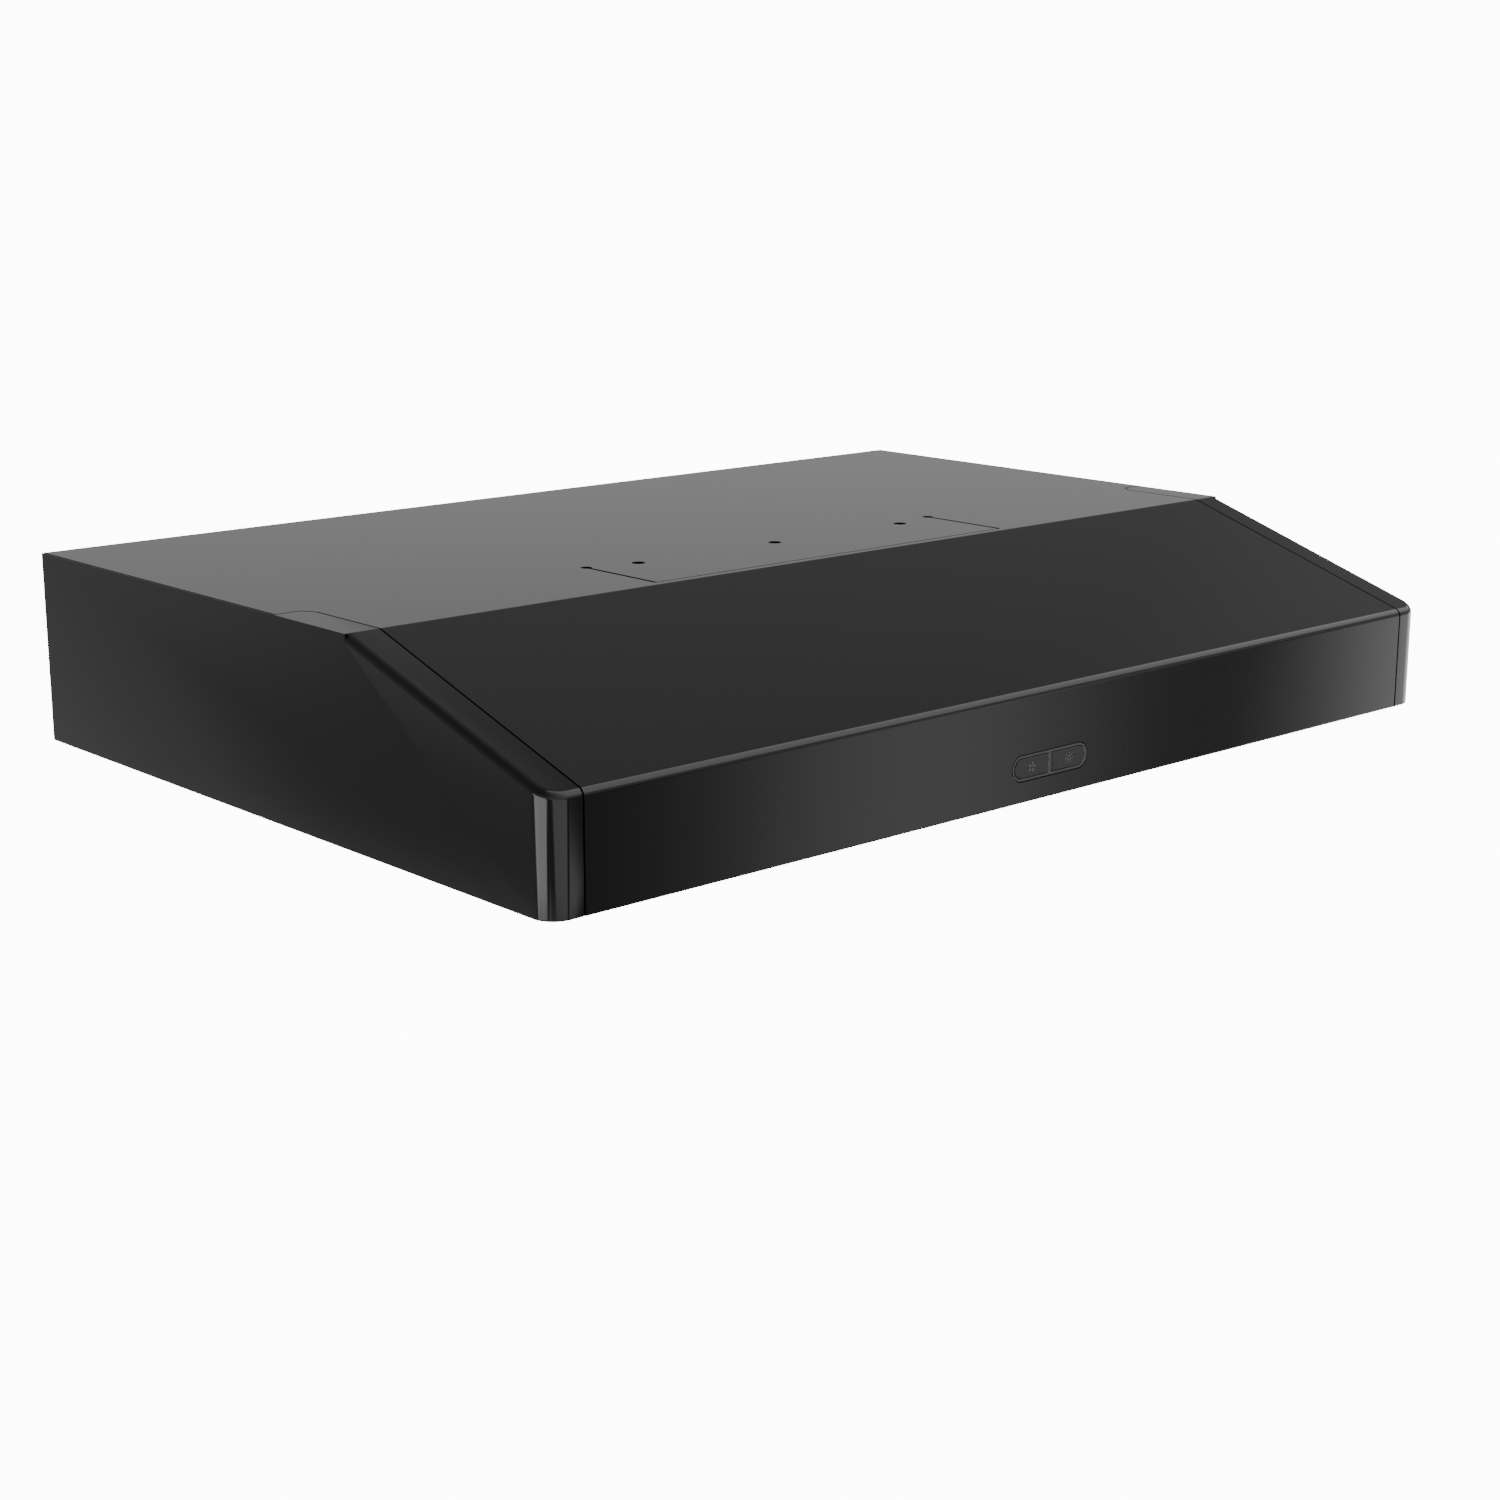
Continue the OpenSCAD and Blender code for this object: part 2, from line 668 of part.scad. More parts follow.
// One forward-curved blade, as a thin curved band
module blade() {
    inner_r = wheel_r - blade_l;
    lead = 11;
    steps = 6;
    hook = 1.7;
    end_gap = 0.5;
    line = [for (i = [0:steps]) let (
            s = i / steps,
            r = inner_r + end_gap + (blade_l - 2 * end_gap) * s,
            a = lead * pow(s, hook))
        r * [cos(a), sin(a)]];
    polygon(concat(moved(line, wheel_wall / 2), reversed(moved(line, -wheel_wall / 2))));
}

module blower_wheel() {
    dome_z = wheel_z + dome_rise;
    top_z = wheel_z + wheel_h;
    plate_t = 2;
    ring_play = 0.4;
    draft = 0.5;
    boss_h = 4;
    color(black_plastic) translate([blower_x, blower_y, 0]) union() {
        for (i = [0:blade_count - 1]) rotate(i * 360 / blade_count)
            translate([0, 0, wheel_z + plate_t / 2]) linear_extrude(wheel_h - 1.5 * plate_t / 2) blade();
        // open ring at the inlet and plate with its sunk dome at the back
        difference() {
            hole_z(0, 0, wheel_z, wheel_z + plate_t, wheel_r);
            hole_z(0, 0, wheel_z - cut, wheel_z + plate_t + cut, wheel_r - blade_l + ring_play);
        }
        rotate_extrude() polygon([[dome_r, top_z], [wheel_r, top_z], [wheel_r, top_z - plate_t],
            [dome_r + plate_t, top_z - plate_t], [dome_r + plate_t - draft, dome_z - plate_t],
            [hub_r, dome_z - plate_t], [hub_r, dome_z - hub_drop], [shaft_r, dome_z - hub_drop],
            [shaft_r, dome_z + boss_h], [hub_r - plate_t, dome_z + boss_h], [hub_r, dome_z],
            [dome_r - draft, dome_z]]);
    }
}

module motor_shaft() {
    shaft_top = scroll_top_z - 1;
    shaft_low = wheel_z - 1;
    color(zinc) hole_z(blower_x, blower_y, shaft_low, shaft_top, shaft_r);
}

module wheel_nut() {
    nut_z = wheel_z + dome_rise - hub_drop;
    nut_h = 5;
    nut_wall = 4;
    color(zinc) difference() {
        translate([blower_x, blower_y, nut_z - nut_h]) cylinder(r = shaft_r + nut_wall, h = nut_h, $fn = 6);
        hole_z(blower_x, blower_y, nut_z - nut_h - cut, nut_z + cut, shaft_r);
    }
}

function motor_screw_points() = [for (a = [0:120:240])
    [blower_x, blower_y] + (motor_r + motor_screw_out) * [cos(a), sin(a)]];

// Cup with a turned-out flange, open at the top
module motor_can() {
    color(zinc) difference() {
        union() {
            hole_z(blower_x, blower_y, motor_z, scroll_top_z, motor_r);
            hole_z(blower_x, blower_y, scroll_top_z - can_wall, scroll_top_z, motor_r + motor_flange_w);
        }
        hole_z(blower_x, blower_y, motor_z + can_wall, scroll_top_z + cut, motor_r - can_wall);
        hole_z(blower_x, blower_y, motor_z - cut, motor_z + 2, bearing_r - 2);
        for (p = motor_screw_points()) hole_z(p.x, p.y, motor_z, scroll_top_z + cut, screw_clear_r);
    }
}

module motor_cover() {
    cover_z = scroll_top_z - bearing_h - can_wall;
    cover_gap = 0.05;
    color(zinc) difference() {
        hole_z(blower_x, blower_y, cover_z, cover_z + can_wall, motor_r - can_wall - cover_gap);
        hole_z(blower_x, blower_y, cover_z - cut, cover_z + can_wall + cut, bearing_r - 2);
    }
}

module bearing(z) {
    color("#8a7a55") difference() {
        hole_z(blower_x, blower_y, z, z + bearing_h - 1, bearing_r);
        hole_z(blower_x, blower_y, z - cut, z + bearing_h, shaft_fit_r);
    }
}

module upper_bearing() { bearing(scroll_top_z - bearing_h); }
module lower_bearing() { bearing(motor_z + can_wall); }

module motor_stator() {
    stack_z = motor_z + stack_rise;
    seat_gap = 0.05;
    slot_w = 6;
    slot_end = 4;
    color("#6f6258") difference() {
        hole_z(blower_x, blower_y, stack_z, stack_z + stack_h, stator_r - seat_gap);
        hole_z(blower_x, blower_y, stack_z - cut, stack_z + stack_h + cut, rotor_r + air_gap);
        // slots between the poles
        for (i = [0:poles - 1]) translate([blower_x, blower_y, stack_z - cut]) rotate((i + 0.5) * 360 / poles)
            translate([rotor_r - 2, -slot_w / 2, 0])
                cube([stator_r - rotor_r - slot_end, slot_w, stack_h + 2 * cut]);
    }
}

module motor_rotor() {
    overhang = 2;
    low_z = motor_z + stack_rise - overhang;
    top_z = low_z + stack_h + 2 * overhang;
    color(zinc) difference() {
        hole_z(blower_x, blower_y, low_z, top_z, rotor_r);
        hole_z(blower_x, blower_y, low_z - cut, top_z + cut, shaft_r);
    }
}

module motor_screws() {
    head_r = 3;
    head_h = 2;
    shank_r = 1.6;
    color(zinc) for (p = motor_screw_points()) translate([p.x, p.y, scroll_top_z - can_wall - head_h])
        screw(head_r, head_h, shank_r, can_wall + sheet_t + 2);
}

module blower_studs() {
    stud_end = 7;
    color(zinc) for (p = mount_points) hole_z(p.x, p.y, scroll_top_z - stud_end, -sheet_t, stud_r);
}

module blower_grommets() {
    plate_mid = scroll_top_z + sheet_t / 2;
    color("#151515") for (p = mount_points) difference() {
        hole_z(p.x, p.y, plate_mid - grommet_half, plate_mid + grommet_half, grommet_r);
        hole_z(p.x, p.y, plate_mid - grommet_half - cut, plate_mid + grommet_half + cut, stud_r);
        difference() {
            hole_z(p.x, p.y, scroll_top_z, scroll_top_z + sheet_t, grommet_r + 1);
            hole_z(p.x, p.y, scroll_top_z - cut, scroll_top_z + 2, grommet_r - 2);
        }
    }
}

module blower_nuts() {
    nut_top = scroll_top_z + sheet_t / 2 - grommet_half;
    nut_h = 4;
    nut_r = 4.6;
    color(zinc) for (p = mount_points) difference() {
        translate([p.x, p.y, nut_top - nut_h]) cylinder(r = nut_r, h = nut_h, $fn = 6);
        hole_z(p.x, p.y, nut_top - nut_h - cut, nut_top + cut, stud_r);
    }
}

// ---- filters ----

ring_y = -filter_back - filter_d + filter_frame_w / 2;
ring_z = filter_z - ring_wire_r - 1;

module filter_block(side, inset, z0, z1) {
    translate([side * filter_x - filter_w / 2 + inset, -filter_back - filter_d + inset, z0])
        cube([filter_w - 2 * inset, filter_d - 2 * inset, z1 - z0]);
}

// Folded channel frame with a hinge pin at each rear corner
module filter_frame(side) {
    wall = 0.8;
    top_z = filter_z + filter_t;
    color(aluminium) difference() {
        union() {
            filter_block(side, 0, filter_z, top_z);
            for (s = [-1, 1]) {
                edge = side * filter_x + s * filter_w / 2;
                hole_x(min(edge - s, edge + s * pin_l), max(edge - s, edge + s * pin_l),
                    hinge_y, hinge_z, hinge_pin_r);
            }
        }
        filter_block(side, filter_frame_w, filter_z - cut, top_z + cut);
        filter_block(side, wall, filter_z + wall, top_z - wall);
    }
}

// Pleated foil between two thin faces
module filter_mesh(side) {
    edge = 3;
    face_gap_z = 1.1;
    face_t = 0.3;
    foil_t = 0.4;
    pleat_w = 6;
    low_z = filter_z + face_gap_z;
    top_z = filter_z + filter_t - face_gap_z;
    pleats = round((filter_w - 2 * edge) / pleat_w);
    step = (filter_w - 2 * edge) / pleats;
    turn = face_t + 0.05;
    fold = [for (i = [0:pleats]) [i * step, i % 2 == 0 ? low_z + turn : top_z - turn]];
    color("#9fa1a4") union() {
        filter_block(side, edge, low_z, low_z + face_t);
        filter_block(side, edge, top_z - face_t, top_z);
        translate([side * filter_x - filter_w / 2 + edge, -filter_back - edge, 0]) rotate([90, 0, 0])
            linear_extrude(filter_d - 2 * edge)
                polygon(concat(moved(fold, foil_t / 2), reversed(moved(fold, -foil_t / 2))));
    }
}

module ring_lug(side) {
    lug_w = 9;
    lug_half = 3;
    wire_gap = 0.1;
    color(aluminium) difference() {
        box(side * filter_x - lug_w / 2, side * filter_x + lug_w / 2, ring_y - lug_half, ring_y + lug_half,
            ring_z - ring_wire_r - 1, filter_z);
        hole_x(side * filter_x - lug_w, side * filter_x + lug_w, ring_y, ring_z, ring_wire_r + wire_gap);
    }
}

// D-shaped wire ring that hangs from its straight bar
module pull_ring(side) {
    bow_r = 5;
    half = ring_w / 2 - ring_wire_r;
    low = -ring_drop + ring_wire_r;
    color(aluminium) translate([side * filter_x, ring_y, ring_z]) union() {
        rotate([0, 90, 0]) cylinder(r = ring_wire_r, h = 2 * half, center = true);
        for (s = [-1, 1]) {
            translate([s * half, 0, 0]) sphere(ring_wire_r);
            translate([s * half, 0, low + bow_r]) cylinder(r = ring_wire_r, h = -low - bow_r);
            translate([s * (half - bow_r), 0, low + bow_r]) rotate([90, 0, 0])
                rotate([0, 0, s > 0 ? 270 : 180]) rotate_extrude(angle = 90)
                    translate([bow_r, 0]) circle(ring_wire_r);
        }
        translate([0, 0, low]) rotate([0, 90, 0])
            cylinder(r = ring_wire_r, h = 2 * (half - bow_r), center = true);
    }
}

module left_filter_frame() { filter_frame(-1); }
module left_filter_mesh() { filter_mesh(-1); }
module left_ring_lug() { ring_lug(-1); }
module left_pull_ring() { pull_ring(-1); }
module right_filter_frame() { filter_frame(1); }
module right_filter_mesh() { filter_mesh(1); }
module right_ring_lug() { ring_lug(1); }
module right_pull_ring() { pull_ring(1); }

// Small angle plates on the pan that the filters' pins turn in
module filter_hinge_brackets() {
    bracket_t = 1.5;
    half = 5;
    foot_w = 8;
    foot_t = 0.6;
    side_gap = 0.2;
    bracket_z = pan_z + sheet_t;
    top_z = hinge_z + hinge_pin_r + 3;
    color(zinc) for (side = [-1, 1], s = [-1, 1]) {
        plate_x = side * filter_x + s * (filter_w / 2 + filter_gap + side_gap);
        difference() {
            union() {
                box(plate_x, plate_x + s * bracket_t, hinge_y - half, hinge_y + half, bracket_z, top_z);
                box(plate_x, plate_x + s * foot_w, hinge_y - half, hinge_y + half,
                    bracket_z, bracket_z + foot_t);
            }
            hole_x(plate_x - foot_w, plate_x + foot_w, hinge_y, hinge_z, hinge_pin_r + hinge_pin_gap);
        }
    }
}

// Leaf springs whose rounded noses grip each filter's front edge
module filter_catches() {
    edge_y = -filter_back - filter_d;
    nose_r = 1;
    leaf_t = 0.5;
    leaf_half = 7;
    leaf_l = 14;
    leaf_gap = 0.4;
    nose_gap = 0.3;
    base_z = pan_z - leaf_t;
    color(zinc) for (side = [-1, 1], s = [-1, 1]) {
        catch_x = side * filter_x + s * filter_w / 3;
        box(catch_x - leaf_half, catch_x + leaf_half, edge_y - leaf_l, edge_y - filter_gap - leaf_gap,
            base_z, pan_z);
        hole_x(catch_x - leaf_half, catch_x + leaf_half, edge_y - nose_r - nose_gap,
            base_z - nose_r + leaf_t, nose_r);
    }
}

// ---- controls ----

plate_w = control_w + 16;
plate_h = control_h + 9;
plate_screw_inset = 4;
board_t = 1.6;
plate_screw_r = 1.1;
screw_play = 0.2;
housing_l = 5;
lip_w = 1.2;
lip_gap = 0.15;

// One of the two halves of the pill inside the bezel: side -1 is the fan's, 1 the light's
module button_half(side, grow, y0, y1) {
    inset = bezel_rim + button_gap - grow;
    bar_lap = 0.8;
    intersection() {
        pill(control_w - 2 * inset, control_h - 2 * inset, y0, y1, control_z);
        box(side * (bezel_bar / 2 + button_gap - min(grow, bar_lap)), side * control_w, y0 - cut, y1 + cut,
            control_z - control_h, control_z + control_h);
    }
}

button_x = control_w / 4;

module button(side) {
    stem_r = 2;
    color(black_plastic) union() {
        button_half(side, 0, face_y - button_proud, bezel_back_y + 1);
        button_half(side, lip_w, bezel_back_y + lip_gap, bezel_back_y + lip_w);
        hole_y(side * button_x, bezel_back_y + 1, board_y - switch_h - plunger_h - button_travel - lip_gap,
            control_z, stem_r);
    }
}

module fan_button() { button(-1); }
module light_button() { button(1); }

module button_bezel() {
    pilot_depth = 2.5;
    color(black_plastic) difference() {
        union() {
            pill(control_w, control_h, face_y, bezel_back_y, control_z);
            box(-plate_w / 2, plate_w / 2, panel_in_y, bezel_back_y,
                control_z - plate_h / 2, control_z + plate_h / 2);
        }
        for (side = [-1, 1]) button_half(side, button_gap, face_y - cut, bezel_back_y + cut);
        for (s = [-1, 1]) hole_y(s * (plate_w / 2 - plate_screw_inset), bezel_back_y - pilot_depth,
            bezel_back_y + cut, control_z, plate_screw_r);
    }
}

module control_housing() {
    wall = 1.5;
    board_gap = 0.5;
    wire_r = 3;
    back_y = board_y + housing_l;
    color(black_plastic) difference() {
        box(-plate_w / 2, plate_w / 2, bezel_back_y, back_y,
            control_z - plate_h / 2, control_z + plate_h / 2);
        box(-board_w / 2 - board_gap, board_w / 2 + board_gap, bezel_back_y - cut, back_y - wall,
            control_z - plate_h / 2 + wall, control_z + plate_h / 2 - wall);
        for (s = [-1, 1]) hole_y(s * (plate_w / 2 - plate_screw_inset), bezel_back_y - cut, back_y + cut,
            control_z, plate_screw_r + screw_play);
        hole_y(0, back_y - wall - cut, back_y + cut, control_z + wire_r, wire_r);
    }
}

module control_board() {
    board_half_h = 10.2;
    color("#1f5a35") box(-board_w / 2, board_w / 2, board_y, board_y + board_t,
        control_z - board_half_h, control_z + board_half_h);
}

module tact_switch(side) {
    half = 3;
    plunger_r = 1.75;
    color("#c8c8c8") union() {
        box(side * button_x - half, side * button_x + half, board_y - switch_h, board_y,
            control_z - half, control_z + half);
        hole_y(side * button_x, board_y - switch_h - plunger_h, board_y - switch_h + cut,
            control_z, plunger_r);
    }
}

module fan_switch() { tact_switch(-1); }
module light_switch() { tact_switch(1); }

module control_screws() {
    back_y = board_y + housing_l;
    head_r = 2.4;
    head_h = 1.4;
    color(zinc) for (s = [-1, 1])
        translate([s * (plate_w / 2 - plate_screw_inset), back_y + head_h, control_z]) rotate([90, 0, 0])
            screw(head_r, head_h, plate_screw_r, back_y - bezel_back_y + 2);
}

// ---- lamps ----

can_skin = 1.2;

module lamp_can(side) {
    wall = can_skin;
    flange_t = 1.5;
    flange_out = 6;
    fin_t = 1.6;
    fin_end = 3;
    fin_h = 6;
    top_z = pan_z + lamp_can_h;
    color("#dcdcdc") difference() {
        union() {
            hole_z(side * lamp_x, lamp_y, pan_z - flange_t, top_z, can_r);
            hole_z(side * lamp_x, lamp_y, pan_z - flange_t, pan_z, can_r + flange_out);
            for (a = [0:30:150]) translate([side * lamp_x, lamp_y, top_z]) rotate(a)
                translate([-can_r + fin_end, -fin_t / 2, -0.5])
                    cube([2 * (can_r - fin_end), fin_t, fin_h + 0.5]);
        }
        hole_z(side * lamp_x, lamp_y, pan_z - flange_t - cut, top_z - wall, can_r - wall);
    }
}

module led_board(side) {
    board_z = pan_z + lamp_can_h - can_skin - board_t;
    leds = 6;
    led = [3.5, 2.8, 1];
    led_out = 16;
    color("#f0f0ea") union() {
        hole_z(side * lamp_x, lamp_y, board_z, board_z + board_t, lens_r - 2);
        for (i = [0:leds - 1]) let (a = 360 * i / leds)
            translate([side * lamp_x + led_out * cos(a), lamp_y + led_out * sin(a), board_z - 0.8 * led.z])
                translate([-led.x / 2, -led.y / 2, 0]) cube(led);
    }
}

// Frosted lens with a shallow dome towards the hob
module lamp_lens(side) {
    rim_z = pan_z - 0.5;
    rim_t = 2;
    rim_gap = 0.2;
    rim_r = can_r - can_skin - rim_gap;
    dome_h = 2.5;
    dome_r = (lens_r * lens_r + dome_h * dome_h) / (2 * dome_h);
    half_angle = asin(lens_r / dome_r);
    color("#f4f4f0") translate([side * lamp_x, lamp_y, rim_z]) rotate_extrude()
        polygon(concat(arc_points([0, dome_r - dome_h], dome_r, 270, 270 + half_angle, 8),
            [[rim_r, 0], [rim_r, rim_t], [0, rim_t]]));
}

module left_lamp_can() { lamp_can(-1); }
module left_led_board() { led_board(-1); }
module left_lamp_lens() { lamp_lens(-1); }
module right_lamp_can() { lamp_can(1); }
module right_led_board() { led_board(1); }
module right_lamp_lens() { lamp_lens(1); }

// ---- wiring ----

module wiring_box() {
    ear = ear_w;
    wire_r = 6;
    color(grey_paint) difference() {
        union() {
            box(box_x - box_w / 2, box_x + box_w / 2, box_back_y - box_d, box_back_y,
                box_top_z - box_h, box_top_z);
            box(box_x - box_w / 2 - ear, box_x + box_w / 2 + ear, box_back_y - sheet_t, box_back_y,
                box_top_z - box_h, box_top_z);
        }
        box(box_x - box_w / 2 + sheet_t, box_x + box_w / 2 - sheet_t, box_back_y - box_d + sheet_t,
            box_back_y - sheet_t, box_top_z - box_h - cut, box_top_z - sheet_t);
        hole_y(half_w - wiring_hole_inset, box_back_y - sheet_t - cut, box_back_y + cut,
            box_top_z - box_h / 2, wiring_hole_r + 0.5);
        hole_x(box_x - box_w / 2 - cut, box_x - box_w / 2 + sheet_t + cut, lead_y, lead_z, wire_r);
        rear_holes(box_screws());
    }
}

module wiring_box_cover() {
    low_z = box_top_z - box_h;
    tab_in = 2;
    tab_h = 8;
    color(grey_paint) difference() {
        union() {
            box(box_x - box_w / 2, box_x + box_w / 2, box_back_y - box_d, box_back_y, low_z - sheet_t, low_z);
            box(box_x - box_w / 2 + tab_in, box_x + box_w / 2 - tab_in, box_back_y - box_d + 2 * sheet_t,
                box_back_y - box_d + 3 * sheet_t, low_z - sheet_t / 2, low_z + tab_h);
        }
        for (p = cover_screw_points()) hole_z(p.x, p.y, low_z - 2, low_z + cut, pan_hole_r + 0.1);
    }
}

cover_screw_inset = 8;

function cover_screw_points() = [for (s = [-1, 1])
    [box_x + s * (box_w / 2 - cover_screw_inset), box_back_y - box_d / 2]];

module cover_screws() {
    low_z = box_top_z - box_h - sheet_t;
    head_r = 3.4;
    head_h = 2;
    shank_l = 7;
    color(zinc) for (p = cover_screw_points())
        translate([p.x, p.y, low_z - head_h]) screw(head_r, head_h, pan_hole_r, shank_l);
}

module terminal_block() {
    pitch = 9;
    ways = 4;
    block_w = 14;
    first_x = box_x - 44;
    front_y = box_back_y - 60;
    top_z = box_top_z - sheet_t;
    bore_r = 2.4;
    bore_end = 4;
    color("#e9e4d0") difference() {
        box(first_x, first_x + pitch * ways, front_y, front_y + block_w, top_z - block_w, top_z);
        for (i = [0:ways - 1]) hole_z(first_x + pitch * (i + 0.5), front_y + block_w / 2,
            top_z - block_w - cut, top_z - bore_end, bore_r);
    }
}

module run_capacitor() {
    cap_r = 14;
    cap_l = 50;
    cap_x = box_x + 30;
    end_y = box_back_y - 30;
    axis_z = box_top_z - sheet_t - cap_r;
    tab = [0.8, 8, 6];
    tab_step = 5;
    color("#d8d8dc") union() {
        hole_y(cap_x, end_y - cap_l, end_y, axis_z, cap_r);
        for (s = [-1, 1]) box(cap_x + s * tab_step - tab.x / 2, cap_x + s * tab_step + tab.x / 2,
            end_y - cut, end_y + tab.y, axis_z - tab.z / 2, axis_z + tab.z / 2);
    }
}

module lamp_driver() {
    driver_z = pan_z + sheet_t;
    half = [45, 16, 22];
    foot = [56, 8, 2];
    color("#ececec") union() {
        box(-half.x, half.x, lamp_y - half.y, lamp_y + half.y, driver_z, driver_z + half.z);
        for (s = [-1, 1]) box(s * (half.x - 1), s * foot.x, lamp_y - foot.y, lamp_y + foot.y,
            driver_z, driver_z + foot.z);
    }
}

// Leads: hand-set routes, smoothed and swept
lead_r = 3;
lead_y = box_back_y - box_d + 22;
lead_z = box_top_z - 14;

function smooth(p, steps) = [for (i = [0:len(p) - 2], k = [0:steps - 1]) let (
        a = p[max(i - 1, 0)], b = p[i], c = p[i + 1], d = p[min(i + 2, len(p) - 1)], t = k / steps)
    0.5 * (2 * b + (c - a) * t + (2 * a - 5 * b + 4 * c - d) * t * t
        + (3 * b - a - 3 * c + d) * t * t * t)];

function lead_ring(p, dir, up, r) = let (u = unit(cross(dir, up)), v = cross(u, unit(dir)))
    [for (k = [0:7]) p + r * (cos(45 * k) * u + sin(45 * k) * v)];

module lead(route, r, up) {
    line = concat(smooth(route, 5), [route[len(route) - 1]]);
    count = len(line);
    rings = [for (i = [0:count - 1]) lead_ring(line[i],
        line[min(i + 1, count - 1)] - line[max(i - 1, 0)], up, r)];
    points = [for (ring = rings, p = ring) p];
    sides = [for (i = [0:count - 2], k = [0:7]) let (n = (k + 1) % 8)
        [8 * i + k, 8 * i + n, 8 * (i + 1) + n, 8 * (i + 1) + k]];
    polyhedron(points, concat([[for (k = [7:-1:0]) k]], sides, [[for (k = [0:7]) 8 * (count - 1) + k]]));
}

box_left_x = box_x - box_w / 2;
motor_lead_route = [[box_left_x + 12, lead_y, lead_z], [box_left_x - 12, lead_y, lead_z],
    [box_left_x - 40, lead_y - 10, scroll_top_z + 5.6], [blower_x + 80, blower_y + 20, scroll_top_z + 5.2],
    [blower_x + 40, blower_y + 10, scroll_top_z + 5], [blower_x + 16, blower_y + 5, scroll_top_z + 5]];
control_lead_route = [[0, board_y + 8, control_z + 3], [0, board_y + 22, control_z + 8],
    [16, lamp_y - 50, pan_z + 8], [30, lamp_y - 30, pan_z + 6], [32, lamp_y - 17, pan_z + 6]];
lamp_lead_route = [[46.5, lamp_y, pan_z + 14], [80, lamp_y + 6, pan_z + 10],
    [lamp_x - can_r - 30, lamp_y + 4, pan_z + 8], [lamp_x - can_r - 14, lamp_y, pan_z + 14],
    [lamp_x - can_r - 0.5, lamp_y, pan_z + 18]];

module motor_lead() { color("#e8e8e8") lead(motor_lead_route, lead_r, [0, 0, 1]); }
module control_lead() { color("#303030") lead(control_lead_route, 2.2, [1, 0, 0]); }
module lamp_lead() {
    color("#f0f0f0") both_sides() lead(lamp_lead_route, 2, [0, 0, 1]);
}

// ---- fasteners ----

module rear_screws() {
    head_h = 1.6;
    color(zinc) for (p = concat(side_rear_screws(), box_screws()))
        translate([p.x, rear_y + head_h, p.y]) rotate([90, 0, 0]) screw(3.4, head_h, screw_hole_r - 0.2, 7);
}

module pan_screws() {
    color(zinc) for (p = concat(side_pan_screws(), front_pan_screws()))
        translate([p.x, p.y, bottom_z - pan_head_h]) screw(3, pan_head_h, pan_hole_r - 0.2, 6);
}

module collar_screws() {
    head_h = 1.4;
    color(zinc) for (p = collar_screw_points())
        translate([p.x, rear_y + head_h, p.y]) rotate([90, 0, 0]) screw(3, head_h, screw_hole_r - 0.2, 6);
}

hood_shell();
left_end_panel();
right_end_panel();
rear_panel();
bottom_pan();
duct_collar();
damper_flap();
damper_seal();
scroll_wall();
scroll_top_plate();
scroll_inlet_plate();
blower_wheel();
wheel_nut();
motor_can();
motor_cover();
motor_stator();
motor_rotor();
motor_shaft();
upper_bearing();
lower_bearing();
motor_screws();
blower_studs();
blower_grommets();
blower_nuts();
left_filter_frame();
left_filter_mesh();
left_ring_lug();
left_pull_ring();
right_filter_frame();
right_filter_mesh();
right_ring_lug();
right_pull_ring();
filter_hinge_brackets();
filter_catches();
button_bezel();
fan_button();
light_button();
control_housing();
control_board();
fan_switch();
light_switch();
control_screws();
left_lamp_can();
left_led_board();
left_lamp_lens();
right_lamp_can();
right_led_board();
right_lamp_lens();
wiring_box();
wiring_box_cover();
terminal_block();
run_capacitor();
lamp_driver();
motor_lead();
control_lead();
lamp_lead();
rear_screws();
pan_screws();
collar_screws();
cover_screws();
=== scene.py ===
import json
import math

